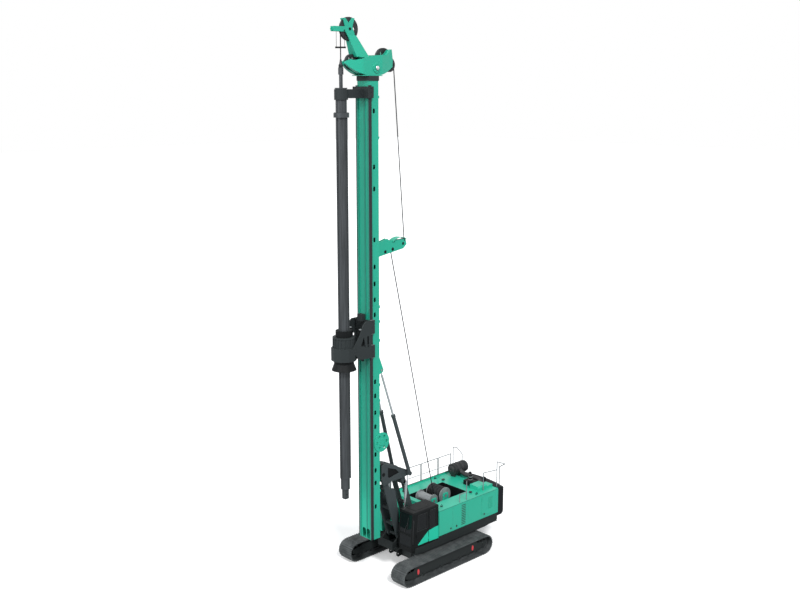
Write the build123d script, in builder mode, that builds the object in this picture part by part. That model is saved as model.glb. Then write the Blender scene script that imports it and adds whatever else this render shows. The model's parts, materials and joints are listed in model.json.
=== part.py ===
from build123d import *
from math import cos, hypot, pi, sin
import os

os.makedirs("parts", exist_ok=True)

# Frame: millimetres, +X towards the mast, +Y to the cab side, +Z up.
# The origin is on the slew axis, at the height of the ground under the tracks.

# General fits
running_gap = 0.3
open_gap = 6.0
drift_gap = 20.0

# Door hinges
hinge_stand = 18
hinge_radius = 14
hinge_pin = 8
hinge_length = 50

# Tracks
track_gauge = 3360
wheel_base = 4680
track_height = 880
shoe_width = 800
shoe_pitch = 228
shoe_plate = 28
shoe_joint = 14
grouser_height = 34
grouser_base = 32
link_height = 92
link_width = 52
link_spread = 170
link_seat = 2
frame_width = 460
frame_cheek = 30
frame_low = 280
frame_top = 640
side_plate_rear = -1860
side_plate_front = 2070
side_plate_top = 780
side_plate_skin = 14
roller_radius = 92
roller_axle = 35
roller_count = 8
carrier_radius = 62
carrier_spread = 1900
wheel_width = 300
wheel_rim = 46
wheel_web = 70
hub_radius = 110
sprocket_teeth = 11
tooth_height = 40
tooth_width = 60

# Centre frame of the undercarriage and the beams that carry the tracks
centre_half_width = 815
centre_low = 430
centre_top = 850
beam_x = 880
beam_width = 340
beam_height = 270
beam_low = 470
beam_wall = 45
beam_reach = 480
centre_body_half = 620
centre_body_top = 810
pedestal_rim = 30
tow_plate = 36
tow_half = 250
tow_front = 1440
ring_radius = 730
ring_bore = 520
ring_height = 72

# Upper frame and house
half_width = 1500
frame_front = 1880
side_front = 1490
side_low = 935
side_end_low = 1040
side_end_top = 1245
nose_half = 450
house_front = 80
frame_floor = 1010
house_floor = 1400
house_top = 2555
skirt = 30
house_wall = 30
tail_radius = 4430
weight_depth = 690
house_rear = weight_depth - tail_radius
weight_low = 1230
weight_top = 2580
weight_half_width = 1480
belly_low = 900
belly_half_width = 1000
belly_reach = 460

# Cab
cab_rear = 95
cab_front = 1590
cab_nose = 1690
cab_inner = 605
cab_outer = 1450
cab_low = 1265
cab_chin = 1090
cab_top = 2860
cab_wall = 45
cab_round = 60
glass_thick = 8
door_rear = 700
door_front = 1480
door_foot = 90
door_head = 70
cover_skin = 14
cover_rear_top = 1900
cover_bend = 1845
cover_tip = 1320

# Layers across the machine: arms, then the cheeks outside them, then cylinders
arm_in = 270
arm_out = 335
cheek_in = 355
cheek_out = 400
cylinder_y = 490

# Parallel linkage, as x and z of each pin
boom_foot = (1350, 1450)
boom_head = (2180, 4120)
link_foot = (370, 1530)
link_head = (1200, 4200)
mast_pin = (2330, 4500)
arm_pin = 60
lift_foot = (1230, 1350)
lift_head = (1115, 3866)
lift_tube = 80
lift_rod = 62

# Backstay cylinders, as x, y and z of each eye
stay_foot = (950, 530, 4250)
stay_head = (2360, 255, 9030)
stay_eye_half = 20
stay_neck = 26
stay_tube = 82
stay_rod = 45
stay_tube_length = 2860

# Mast
mast_rear = 2486
mast_front = 2963
mast_half = 347
mast_low = 1730
mast_top = 20650
mast_wall = 14
rail_half = 400
rail_rear = 2890
rail_front = 3010
rail_low = 1760
rail_top = 20480

# Drilling axis
drill_x = 4090
kelly_outer_radius = 215
kelly_outer_bore = 196
kelly_inner_radius = 188
kelly_inner_bore = 162
kelly_key = 30
kelly_key_width = 46
kelly_top = 19440
kelly_low = 4750
kelly_end = 3840

# Carriage and rotary drive
carriage_low = 9690
carriage_top = 11240
drive_radius = 515
rim_radius = 455
rib_count = 20


def plate(outline, y_low, y_high, mode=Mode.ADD):
    """A plate between two values of y, from its outline in x and z."""
    with BuildSketch(Plane.XZ.offset(-y_high)) as face:
        with BuildLine():
            Polyline(*outline, close=True)
        make_face()
    extrude(face.sketch, amount=y_high - y_low, mode=mode)


def twin_plates(outline, y_low, y_high, mode=Mode.ADD):
    """The same plate on both sides of the centre line."""
    plate(outline, y_low, y_high, mode)
    plate(outline, -y_high, -y_low, mode)


def block(x, y, z, mode=Mode.ADD):
    """A block from its low and high value along each axis."""
    with Locations(((x[0] + x[1]) / 2, (y[0] + y[1]) / 2, (z[0] + z[1]) / 2)):
        Box(x[1] - x[0], y[1] - y[0], z[1] - z[0], mode=mode)


def cross_pin(centre, radius, y_low, y_high, mode=Mode.ADD):
    """A round pin or bore along y, at an x and z."""
    with BuildSketch(Plane.XZ.offset(-y_high)) as face:
        with Locations(centre):
            Circle(radius)
    extrude(face.sketch, amount=y_high - y_low, mode=mode)


def twin_pins(centre, radius, y_low, y_high, mode=Mode.ADD):
    """The same pin or bore on both sides of the centre line."""
    cross_pin(centre, radius, y_low, y_high, mode)
    cross_pin(centre, radius, -y_high, -y_low, mode)


def rod_between(start, end, radius, mode=Mode.ADD):
    """A round bar from one point to another."""
    run = Vector(*end) - Vector(*start)
    with BuildSketch(Plane(origin=start, z_dir=run)) as face:
        Circle(radius)
    extrude(face.sketch, amount=run.length, mode=mode)


def upright(centre, z_low, z_high, radius, mode=Mode.ADD):
    """A round post or bore along z, at an x and y."""
    with BuildSketch(Plane.XY.offset(z_low)) as face:
        with Locations(centre):
            Circle(radius)
    extrude(face.sketch, amount=z_high - z_low, mode=mode)


def hinge_leaf(x_axis, y_face, sign, z_low, forward, fixed):
    """One leaf of a lift-off hinge: the fixed one holds the pin, the other sits on it."""
    y_axis = y_face + sign * hinge_stand
    z_leaf = z_low if fixed else z_low + hinge_length + running_gap
    z_end = z_low + hinge_length if fixed else z_low + 2 * hinge_length
    block(
        sorted((x_axis, x_axis + forward * 4 * hinge_radius)), sorted((y_face, y_axis)), (z_leaf, z_end),
    )
    upright((x_axis, y_axis), z_leaf, z_end, hinge_radius)
    if fixed:
        upright((x_axis, y_axis), z_end, z_low + 2 * hinge_length, hinge_pin)
    else:
        upright((x_axis, y_axis), z_leaf, z_end, hinge_pin + running_gap, Mode.SUBTRACT)


def write(builder, name):
    """Labels a finished piece and writes its file."""
    builder.part.label = name
    export_step(builder.part, f"parts/{name}.step")


def along(start, end, share):
    """A point part of the way from one point to another."""
    return tuple(a + (b - a) * share for a, b in zip(start, end))


# Undercarriage
carrier_axle = 20
carrier_post_in = 126
carrier_post_out = 150
axle_height = track_height / 2
plate_radius = axle_height - grouser_height
link_radius = plate_radius - shoe_plate
loop_radius = link_radius - link_height
loop_length = 2 * wheel_base + 2 * pi * plate_radius
shoe_count = round(loop_length / shoe_pitch)
link_pitch = loop_length / shoe_count
wheel_radius = loop_radius * cos(link_pitch / plate_radius / 2) - running_gap
carrier_z = axle_height + loop_radius - carrier_radius - running_gap
roller_z = axle_height - loop_radius + roller_radius + running_gap
roller_step = (wheel_base - 2 * loop_radius - 2 * roller_radius - 60) / (roller_count - 1)
roller_places = [(index - (roller_count - 1) / 2) * roller_step for index in range(roller_count)]
tunnel_low = beam_low - running_gap
tunnel_high = beam_low + beam_height + running_gap
tunnel_half = beam_width / 2 + running_gap

with BuildPart() as centre_frame:
    for x_middle in (-beam_x, beam_x):
        block(
            (x_middle - beam_width / 2 - beam_wall, x_middle + beam_width / 2 + beam_wall),
            (-centre_half_width, centre_half_width),
            (beam_low - beam_wall, beam_low + beam_height + beam_wall),
        )
    block((-beam_x, beam_x), (-centre_body_half, centre_body_half), (centre_low, centre_body_top))
    upright((0, 0), centre_low, centre_top, ring_radius + pedestal_rim)
    for x_middle in (-beam_x, beam_x):
        block(
            (x_middle - tunnel_half, x_middle + tunnel_half),
            (-centre_half_width, centre_half_width),
            (tunnel_low, tunnel_high),
            Mode.SUBTRACT,
        )
    upright((0, 0), centre_low, centre_top, ring_bore - 60, Mode.SUBTRACT)
    for direction in (-1, 1):
        beam_face = direction * (beam_x + beam_width / 2 + beam_wall)
        tow_end = direction * tow_front
        tow_side = [
            (beam_face, beam_low),
            (tow_end - direction * 90, beam_low - 30),
            (tow_end, beam_low + 60),
            (tow_end - direction * 20, beam_low + 200),
            (tow_end - direction * 130, beam_low + beam_height),
            (beam_face, beam_low + beam_height),
        ]
        twin_plates(tow_side, tow_half - tow_plate, tow_half)
        tow_eye = (tow_end - direction * 110, beam_low + 110)
        twin_pins(tow_eye, 42, tow_half - tow_plate, tow_half, Mode.SUBTRACT)
write(centre_frame, "centre_frame")

with BuildPart() as slew_ring:
    with BuildSketch(Plane.XY.offset(centre_top)) as ring_face:
        Circle(ring_radius)
        Circle(ring_bore, mode=Mode.SUBTRACT)
    extrude(ring_face.sketch, amount=ring_height)
write(slew_ring, "slew_ring")


def loop_point(distance, height):
    """A point on the track loop, from its run along the shoes and its height over them."""
    half_turn = pi * plate_radius
    radius = plate_radius + height
    distance = distance % loop_length
    if distance < wheel_base:
        return (-wheel_base / 2 + distance, axle_height - radius)
    distance -= wheel_base
    if distance < half_turn:
        angle = distance / plate_radius - pi / 2
        return (wheel_base / 2 + radius * cos(angle), axle_height + radius * sin(angle))
    distance -= half_turn
    if distance < wheel_base:
        return (wheel_base / 2 - distance, axle_height + radius)
    angle = (distance - wheel_base) / plate_radius + pi / 2
    return (-wheel_base / 2 + radius * cos(angle), axle_height + radius * sin(angle))


def plate_point(shoe, distance, height):
    """A point over one flat shoe, from its run along the plate and its height over it."""
    start = Vector(*loop_point(shoe * link_pitch, 0))
    run = Vector(*loop_point((shoe + 1) * link_pitch, 0)) - start
    step = run.normalized()
    place = start + step * distance * run.length / link_pitch
    return (place.X + step.Y * height, place.Y - step.X * height)


def shoe_outline():
    """The outer outline of the loop: flat plates with a notch at each joint and two lugs a shoe."""
    lugs = (0.28 * link_pitch, 0.72 * link_pitch)
    points = []
    for shoe in range(shoe_count):
        points.append(loop_point(shoe * link_pitch, -0.7 * shoe_plate))
        points.append(plate_point(shoe, shoe_joint / 2, 0))
        for lug in lugs:
            points.append(plate_point(shoe, lug - grouser_base / 2, 0))
            points.append(plate_point(shoe, lug, grouser_height))
            points.append(plate_point(shoe, lug + grouser_base / 2, 0))
        points.append(plate_point(shoe, link_pitch - shoe_joint / 2, 0))
    return points


def chain_outline(height):
    """A closed line from joint to joint of the chain, at one height over the shoes."""
    return [loop_point(shoe * link_pitch, height) for shoe in range(shoe_count)]


def band(outer, inner, y_low, y_high):
    """A closed band between two outlines in x and z, from one y to another."""
    with BuildSketch(Plane.XZ.offset(-y_high)) as face:
        with BuildLine():
            Polyline(*outer, close=True)
        make_face()
        with BuildLine():
            Polyline(*inner, close=True)
        make_face(mode=Mode.SUBTRACT)
    extrude(face.sketch, amount=y_high - y_low)


for side, sign in (("left", 1), ("right", -1)):
    y_track = sign * track_gauge / 2
    with BuildPart() as track:
        band(
            shoe_outline(), chain_outline(-shoe_plate),
            y_track - shoe_width / 2, y_track + shoe_width / 2,
        )
        for y_strand in (y_track - link_spread / 2, y_track + link_spread / 2):
            band(
                chain_outline(link_seat - shoe_plate), chain_outline(-shoe_plate - link_height),
                y_strand - link_width / 2, y_strand + link_width / 2,
            )
    write(track, f"track_{side}")

    with BuildPart() as wheels:
        axle_half = frame_width / 2 - frame_cheek
        for x_wheel in (-wheel_base / 2, wheel_base / 2):
            with BuildSketch(Plane.XZ.offset(-y_track - wheel_width / 2)) as rim:
                with Locations((x_wheel, axle_height)):
                    Circle(wheel_radius)
                    Circle(wheel_radius - wheel_rim, mode=Mode.SUBTRACT)
            extrude(rim.sketch, amount=wheel_width)
            with BuildSketch(Plane.XZ.offset(-y_track - wheel_web / 2)) as web:
                with Locations((x_wheel, axle_height)):
                    Circle(wheel_radius - wheel_rim + link_seat)
                    with PolarLocations((hub_radius + wheel_radius - wheel_rim) / 2, 6):
                        Circle(36, mode=Mode.SUBTRACT)
            extrude(web.sketch, amount=wheel_web)
            cross_pin((x_wheel, axle_height), hub_radius, y_track - axle_half, y_track + axle_half)
        with BuildSketch(Plane.XZ.offset(-y_track - tooth_width / 2)) as teeth:
            with Locations((-wheel_base / 2, axle_height)):
                with PolarLocations(wheel_radius, sprocket_teeth):
                    Rectangle(2 * tooth_height, tooth_width)
        extrude(teeth.sketch, amount=tooth_width)
        for x_roller in roller_places:
            roller_half = (link_spread + link_width) / 2 + 20
            cross_pin((x_roller, roller_z), roller_radius, y_track - roller_half, y_track + roller_half)
            cross_pin((x_roller, roller_z), roller_axle, y_track - axle_half, y_track + axle_half)
        for x_carrier in (-carrier_spread / 2, carrier_spread / 2):
            carrier_half = (link_spread + link_width) / 2
            cross_pin(
                (x_carrier, carrier_z), carrier_radius, y_track - carrier_half, y_track + carrier_half,
            )
            cross_pin(
                (x_carrier, carrier_z), carrier_axle,
                y_track - carrier_post_out, y_track + carrier_post_out,
            )
    write(wheels, f"track_wheels_{side}")

    half_frame = wheel_base / 2
    frame_outline = [
        (-half_frame - 130, axle_height - 110),
        (-half_frame + 160, frame_low - 20),
        (half_frame - 160, frame_low - 20),
        (half_frame + 130, axle_height - 90),
        (half_frame + 130, axle_height + 90),
        (half_frame - 330, frame_top - 60),
        (half_frame - 480, frame_top),
        (-half_frame + 480, frame_top),
        (-half_frame + 330, frame_top - 60),
        (-half_frame - 130, axle_height + 110),
    ]
    side_plate = [
        (side_plate_rear, frame_low),
        (side_plate_front - 90, frame_low),
        (side_plate_front, frame_low + 90),
        (side_plate_front, side_plate_top - 220),
        (side_plate_front - 160, side_plate_top - 40),
        (side_plate_front - 330, side_plate_top),
        (side_plate_rear + 40, side_plate_top),
        (side_plate_rear, side_plate_top - 40),
    ]
    with BuildPart() as track_frame:
        y_out = y_track + frame_width / 2
        y_in = y_track - frame_width / 2
        for y_low, y_high, y_skin in (
            (y_out - frame_cheek, y_out, y_out + side_plate_skin),
            (y_in, y_in + frame_cheek, y_in - side_plate_skin),
        ):
            plate(frame_outline, y_low, y_high)
            for x_roller in roller_places:
                block(
                    (x_roller - roller_axle - 20, x_roller + roller_axle + 20), (y_low, y_high),
                    (roller_z - roller_axle - 15, frame_low + 60),
                )
            if y_skin * sign > y_track * sign:
                plate(side_plate, *sorted((y_low if sign < 0 else y_high, y_skin)))
                cross_pin(
                    (-half_frame, axle_height), 150, *sorted((y_low if sign < 0 else y_high, y_skin)),
                )
                cross_pin(
                    (-half_frame, axle_height), 95,
                    *sorted((y_low if sign < 0 else y_high, y_skin + sign * 30)),
                )
        block(
            (-half_frame + 480, half_frame - 480),
            (y_in + frame_cheek, y_out - frame_cheek),
            (frame_top - 200, frame_top),
        )
        for x_carrier in (-carrier_spread / 2, carrier_spread / 2):
            block(
                (x_carrier - carrier_radius - 10, x_carrier + carrier_radius + 10),
                (y_track - carrier_post_out, y_track + carrier_post_out),
                (frame_top - 50, frame_top + 1),
                Mode.SUBTRACT,
            )
            for y_low in (y_track - carrier_post_out, y_track + carrier_post_in):
                y_high = y_low + carrier_post_out - carrier_post_in
                block((x_carrier - 40, x_carrier + 40), (y_low, y_high), (frame_top - 60, carrier_z + 35))
                cross_pin(
                    (x_carrier, carrier_z), carrier_axle + running_gap, y_low, y_high, Mode.SUBTRACT,
                )
        inner = y_in if sign > 0 else y_out
        for x_middle in (-beam_x, beam_x):
            block(
                (x_middle - beam_width / 2, x_middle + beam_width / 2),
                sorted((inner, sign * beam_reach)),
                (beam_low, beam_low + beam_height),
            )
    write(track_frame, f"track_frame_{side}")

# Upper frame
ring_top = centre_top + ring_height + running_gap

with BuildPart() as upper_frame:
    with BuildSketch(Plane.XY.offset(frame_floor - 40)) as floor_plate:
        with Locations(((side_front + house_rear) / 2, 0)):
            Rectangle(side_front - house_rear, 2 * half_width - 80)
        with Locations(((frame_front + side_front) / 2, 0)):
            Rectangle(frame_front - side_front, 2 * nose_half)
        Circle(ring_bore - 60, mode=Mode.SUBTRACT)
    extrude(floor_plate.sketch, amount=40)
    upright((0, 0), ring_top, frame_floor - 40, ring_radius - 20)
    upright((0, 0), ring_top, frame_floor, ring_bore - 60, Mode.SUBTRACT)
    side_beam = [
        (house_rear, side_end_low),
        (house_rear + 820, side_low),
        (side_front - 520, side_low),
        (side_front, side_end_low),
        (side_front, side_end_top),
        (house_front + open_gap, side_end_top),
        (house_front + open_gap, house_floor),
        (house_rear, house_floor),
    ]
    twin_plates(side_beam, half_width - 40 - skirt, half_width - 40)
    block((frame_front - skirt, frame_front), (-nose_half, nose_half), (frame_floor, house_floor - 60))
    for x_rib in (house_rear + 740, house_rear + 1740, house_rear + 2840):
        block((x_rib, x_rib + 30), (-half_width + 40, half_width - 40), (frame_floor, house_floor))
    cheek = [
        (house_rear, frame_floor),
        (frame_front - skirt, frame_floor),
        (frame_front - skirt, 1180),
        (boom_foot[0] + 190, boom_foot[1] - 40),
        (boom_foot[0] + 130, boom_foot[1] + 130),
        (boom_foot[0] - 130, boom_foot[1] + 150),
        (link_foot[0] + 150, link_foot[1] + 130),
        (link_foot[0] - 130, link_foot[1] + 130),
        (link_foot[0] - 230, house_floor),
        (house_rear, house_floor),
    ]
    twin_plates(cheek, cheek_in, cheek_out)
    lift_ear = [
        (lift_foot[0] - 150, frame_floor),
        (lift_foot[0] + 150, frame_floor),
        (lift_foot[0] + 90, lift_foot[1] + 90),
        (lift_foot[0] - 90, lift_foot[1] + 90),
    ]
    twin_plates(lift_ear, cylinder_y + 88, cab_inner - 3)
    twin_pins(lift_foot, 45, cheek_out, cylinder_y + 88)
    twin_pins(boom_foot, arm_pin + running_gap, cheek_in, cheek_out, Mode.SUBTRACT)
    twin_pins(link_foot, arm_pin + running_gap, cheek_in, cheek_out, Mode.SUBTRACT)
    block(
        (house_front + 5, frame_front), (cab_inner, half_width), (cab_low - 10, house_floor),
        Mode.SUBTRACT,
    )
    for x_beam in (cab_rear + 150, cab_front - 250):
        block((x_beam, x_beam + 80), (cab_inner + 5, half_width - 41), (frame_floor, cab_low))
write(upper_frame, "upper_frame")

bay_rear = house_rear + 1320
bay_front = -180
bay_half = 760
door_low = 1500
door_top = 2450
service_rear = house_rear + 180
service_front = service_rear + 920
panel_seams = (house_front - 830, house_front - 1810)
seam_width = 8
seam_depth = 8
louvre_front = house_front - 1390
louvre_rear = louvre_front - 270
louvre_low = 1510
louvre_step = 80
louvre_count = 12
cover_rear = house_rear + 370
cover_front = house_rear + 960
cover_low_y = 620
cover_high_y = 1150
cover_top = 2760
step_top = 2660
wall_strip = 60

with BuildPart() as machine_house:
    block((house_rear, house_front), (-half_width, half_width), (house_floor, house_top))
    block(
        (bay_rear, bay_front), (-bay_half, bay_half), (house_floor + house_wall, house_top),
        Mode.SUBTRACT,
    )
    block(
        (house_rear + house_wall, bay_rear - house_wall),
        (-half_width + house_wall, half_width - house_wall),
        (house_floor + house_wall, house_top - house_wall),
        Mode.SUBTRACT,
    )
    for y_low, y_high in (
        (-half_width + house_wall, -bay_half - house_wall),
        (bay_half + house_wall, half_width - house_wall),
    ):
        block(
            (bay_rear, house_front - house_wall), (y_low, y_high),
            (house_floor + house_wall, house_top - house_wall),
            Mode.SUBTRACT,
        )
    for y_low, y_high in ((-half_width, -half_width + house_wall), (half_width - house_wall, half_width)):
        block((service_rear, service_front), (y_low, y_high), (door_low, door_top), Mode.SUBTRACT)
    for y_low, y_high in ((-half_width, -half_width + seam_depth), (half_width - seam_depth, half_width)):
        for row in range(louvre_count):
            z_slot = louvre_low + row * louvre_step
            block(
                (louvre_rear, louvre_front), (y_low, y_high), (z_slot, z_slot + louvre_step / 2),
                Mode.SUBTRACT,
            )
        for x_seam in panel_seams:
            block(
                (x_seam - seam_width, x_seam), (y_low, y_high), (house_floor, house_top), Mode.SUBTRACT,
            )
        block(
            (house_rear, house_front), (y_low, y_high),
            (house_top - house_wall, house_top - house_wall + 2 * seam_width), Mode.SUBTRACT,
        )
    block((cover_rear, cover_front), (cover_low_y, cover_high_y), (house_top, cover_top))
    chamfer(
        machine_house.faces().sort_by(Axis.Z)[-1].edges().filter_by(Axis.X).sort_by(Axis.Y)[-1], 60,
    )
    block((house_rear, cover_rear), (cover_low_y + 120, cover_high_y), (house_top, step_top))
    block(
        (house_rear, bay_front), (-half_width, -half_width + wall_strip),
        (house_top, house_top + wall_strip),
    )
    for sign in (-1, 1):
        for z_hinge in (door_low + 100, door_top - 200):
            hinge_leaf(service_front, sign * half_width, sign, z_hinge, 1, True)
write(machine_house, "machine_house")

with BuildPart() as engine:
    block((house_rear + 340, bay_rear - 200), (-900, 900), (house_floor + house_wall, 2250))
write(engine, "engine_block")

door_gap = open_gap
for side, sign in (("left", 1), ("right", -1)):
    with BuildPart() as service_door:
        y_skin = sorted((sign * (half_width - house_wall), sign * half_width))
        block(
            (service_rear + door_gap, service_front - door_gap), y_skin,
            (door_low + door_gap, door_top - door_gap),
        )
        y_face = sorted((sign * (half_width - 22), sign * half_width))
        for row in range(8):
            z_slot = 1760 + row * 70
            block((service_rear + 200, service_front - 400), y_face, (z_slot, z_slot + 34), Mode.SUBTRACT)
        for z_hinge in (door_low + 100, door_top - 200):
            hinge_leaf(service_front, sign * half_width, sign, z_hinge, -1, False)
    write(service_door, f"service_door_{side}")

lifting_x = house_rear - 220
lifting_bore = 40
lifting_height = 85
weight_round = 140
rim_slope = 250
rim_drop = 100
rail_tube = 19
post_seat = 2440
rear_posts = [
    # x, y of the rail posts that stand in the counterweight
    (house_rear - 60, 1350),
    (house_rear - 440, 1170),
    (house_rear - 60, -1400),
    (house_rear - 440, -1170),
]

with BuildPart() as counterweight:
    for half, z_low, z_high, reach in (
        (weight_half_width, weight_low, weight_top, tail_radius),
        (belly_half_width, belly_low, weight_low, -house_rear + belly_reach),
    ):
        with BuildSketch(Plane.XY.offset(z_low)) as weight_plan:
            Circle(reach)
            with Locations(((house_rear - reach) / 2, 0)):
                Rectangle(reach + house_rear, 2 * half, mode=Mode.INTERSECT)
        extrude(weight_plan.sketch, amount=z_high - z_low)
    weight_corners = [
        edge for edge in counterweight.edges().filter_by(Axis.Z)
        if abs(abs(edge.center().Y) - weight_half_width) < 1 and edge.center().X < house_rear - 50
    ]
    fillet(weight_corners, radius=weight_round)
    for x_in, z_edge, rise in ((rim_slope, weight_top, -rim_drop), (150, weight_low, 150)):
        with BuildSketch(Plane.XZ) as bevel:
            with BuildLine():
                Polyline(
                    (tail_radius - x_in, z_edge), (tail_radius + 5, z_edge + rise),
                    (tail_radius + 5, z_edge), close=True,
                )
            make_face()
        revolve(bevel.sketch, axis=Axis.Z, mode=Mode.SUBTRACT)
    for x_post, y_post in rear_posts:
        upright(
            (x_post, y_post), post_seat, weight_top, rail_tube + running_gap, Mode.SUBTRACT,
        )
    for y_lug in (-450, 450):
        block(
            (lifting_x - 90, lifting_x + 90), (y_lug - 25, y_lug + 25),
            (weight_top, weight_top + lifting_height),
        )
        cross_pin((lifting_x, weight_top + lifting_height), 90, y_lug - 25, y_lug + 25)
        cross_pin(
            (lifting_x, weight_top + lifting_height), lifting_bore, y_lug - 25, y_lug + 25,
            Mode.SUBTRACT,
        )
write(counterweight, "counterweight")

# Cab
cab_side = [
    (cab_rear, cab_low),
    (side_front + 2 * open_gap, cab_low),
    (side_front + 2 * open_gap, cab_chin),
    (cab_front + 50, cab_chin),
    (cab_nose, cab_low + 40),
    (cab_nose - 10, cab_low + 620),
    (cab_front, cab_top),
    (cab_rear, cab_top),
]


def cab_fill(amount, y_low, y_high, mode):
    """The cab's side outline, drawn in by an amount, between two values of y."""
    with BuildSketch(Plane.XZ.offset(-y_high)) as face:
        with BuildLine():
            Polyline(*cab_side, close=True)
        make_face()
        if amount:
            offset(amount=-amount, kind=Kind.INTERSECTION)
    extrude(face.sketch, amount=y_high - y_low, mode=mode)


def front_x(z):
    """The x of the cab's front face at a height."""
    for (x_low, z_low), (x_high, z_high) in zip(cab_side[4:6], cab_side[5:7]):
        if z_low <= z <= z_high:
            return x_low + (x_high - x_low) * (z - z_low) / (z_high - z_low)
    return cab_front


window_low = cab_low + 560
window_top = cab_top - 110
side_window = [
    (cab_rear + 130, window_low + 90),
    (door_rear - 105, window_low + 90),
    (door_rear - 105, window_top),
    (cab_rear + 130, window_top),
]
door_window = [
    (door_rear + 65, window_low + 145),
    (door_front - 100, window_low + 150),
    (door_front - 165, window_top - 40),
    (door_rear + 65, window_top - 40),
]
front_panes = [
    # low z, high z
    (cab_low + 60, cab_low + 560),
    (cab_low + 640, cab_top - 100),
]
shell_cover = [
    (cab_rear, cab_low + 60),
    (door_rear - 20, cab_low + 80),
    (door_rear - 20, cover_bend),
    (cab_rear + 250, cover_rear_top - 12),
    (cab_rear, cover_rear_top),
]
door_cover = [
    (door_rear + 20, cab_low + door_foot + open_gap),
    (cover_tip, cab_low + door_foot + open_gap),
    (cover_tip, cab_low + door_foot + 40),
    (door_rear + 20, cover_bend - 15),
]

with BuildPart() as cab:
    cab_fill(0, cab_inner, cab_outer, Mode.ADD)
    long_edges = cab.faces().sort_by(Axis.Y)[-1].edges() + cab.faces().sort_by(Axis.Y)[0].edges()
    rounded = [
        edge for edge in long_edges
        if edge.center().Z > cab_top - 1 or edge.center().X > cab_front - 40
    ]
    fillet(rounded, radius=cab_round)
    cab_fill(cab_wall, cab_inner + cab_wall, cab_outer - cab_wall, Mode.SUBTRACT)
    block(
        (door_rear, door_front), (cab_outer - cab_wall, cab_outer),
        (cab_low + door_foot, cab_top - door_head), Mode.SUBTRACT,
    )
    plate(side_window, cab_outer - cab_wall, cab_outer, Mode.SUBTRACT)
    block(
        (cab_rear + 90, cab_front - 160), (cab_inner, cab_inner + cab_wall),
        (window_low, window_top), Mode.SUBTRACT,
    )
    block(
        (cab_rear, cab_rear + cab_wall), (cab_inner + 110, cab_outer - 110),
        (window_low + 60, window_top), Mode.SUBTRACT,
    )
    for z_low, z_high in front_panes:
        block(
            (cab_front - 180, cab_nose + 10), (cab_inner + 70, cab_outer - 70), (z_low, z_high),
            Mode.SUBTRACT,
        )
    block(
        (cab_rear + 350, cab_front - 250), (cab_inner + 160, cab_outer - 160),
        (cab_top - cab_wall, cab_top), Mode.SUBTRACT,
    )
    plate(shell_cover, cab_outer, cab_outer + cover_skin)
    for z_hinge in (cab_low + 200, cab_top - 400):
        hinge_leaf(door_rear, cab_outer, 1, z_hinge, -1, True)
write(cab, "cab_shell")


with BuildPart() as cab_glass:
    glass_in = (cab_wall - glass_thick) / 2
    plate(side_window, cab_outer - glass_in - glass_thick, cab_outer - glass_in)
    block(
        (cab_rear + 90, cab_front - 160),
        (cab_inner + glass_in, cab_inner + glass_in + glass_thick),
        (window_low, window_top),
    )
    block(
        (cab_rear + glass_in, cab_rear + glass_in + glass_thick),
        (cab_inner + 110, cab_outer - 110), (window_low + 60, window_top),
    )
    for z_low, z_high in front_panes:
        pane = [
            (front_x(z_low) - glass_in, z_low),
            (front_x(z_high) - glass_in, z_high),
            (front_x(z_high) - glass_in - glass_thick, z_high),
            (front_x(z_low) - glass_in - glass_thick, z_low),
        ]
        plate(pane, cab_inner + 70, cab_outer - 70)
    block(
        (cab_rear + 350, cab_front - 250), (cab_inner + 160, cab_outer - 160),
        (cab_top - glass_in - glass_thick, cab_top - glass_in),
    )
write(cab_glass, "cab_glass")

with BuildPart() as cab_door:
    block(
        (door_rear + open_gap, door_front - open_gap), (cab_outer - cab_wall, cab_outer),
        (cab_low + door_foot + open_gap, cab_top - door_head - open_gap),
    )
    plate(door_window, cab_outer - cab_wall, cab_outer, Mode.SUBTRACT)
    plate(door_cover, cab_outer, cab_outer + cover_skin)
    block(
        (door_front - 90, door_front - 50), (cab_outer, cab_outer + 30),
        (window_low - 100, window_low + 60),
    )
    for z_hinge in (cab_low + 200, cab_top - 400):
        hinge_leaf(door_rear, cab_outer, 1, z_hinge, 1, False)
write(cab_door, "cab_door")

with BuildPart() as door_glass:
    plate(door_window, cab_outer - glass_in - glass_thick, cab_outer - glass_in)
write(door_glass, "door_glass")

seat_x = cab_rear + 520
seat_y = (cab_inner + cab_outer) / 2
seat_z = cab_low + cab_wall

with BuildPart() as cab_seat:
    block((seat_x - 200, seat_x + 220), (seat_y - 200, seat_y + 200), (seat_z, seat_z + 330))
    block((seat_x - 260, seat_x + 270), (seat_y - 240, seat_y + 240), (seat_z + 330, seat_z + 450))
    back_rest = [
        (seat_x - 270, seat_z + 450),
        (seat_x - 140, seat_z + 450),
        (seat_x - 240, seat_z + 1080),
        (seat_x - 340, seat_z + 1080),
    ]
    plate(back_rest, seat_y - 230, seat_y + 230)
    block((seat_x - 150, seat_x + 330), (seat_y - 345, seat_y - 250), (seat_z, seat_z + 620))
    block((seat_x - 150, seat_x + 330), (seat_y + 250, seat_y + 345), (seat_z, seat_z + 620))
write(cab_seat, "cab_seat")

tank_front = 1500
tank_top = 2200

with BuildPart() as side_tank:
    block((house_front, tank_front), (-half_width + 60, -620), (house_floor, tank_top))
    block(
        (house_front + house_wall, tank_front - house_wall),
        (-half_width + 60 + house_wall, -620 - house_wall),
        (house_floor + house_wall, tank_top - house_wall),
        Mode.SUBTRACT,
    )
write(side_tank, "side_tank")

# Winches on the deck
winches = [
    # name, x, z, rope radius, flange radius, half width
    ("main_winch", -1370, 2560, 300, 360, 420),
    ("aux_winch", -640, 2500, 220, 290, 420),
]
winch_shaft = 70
winch_plate = 50

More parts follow.
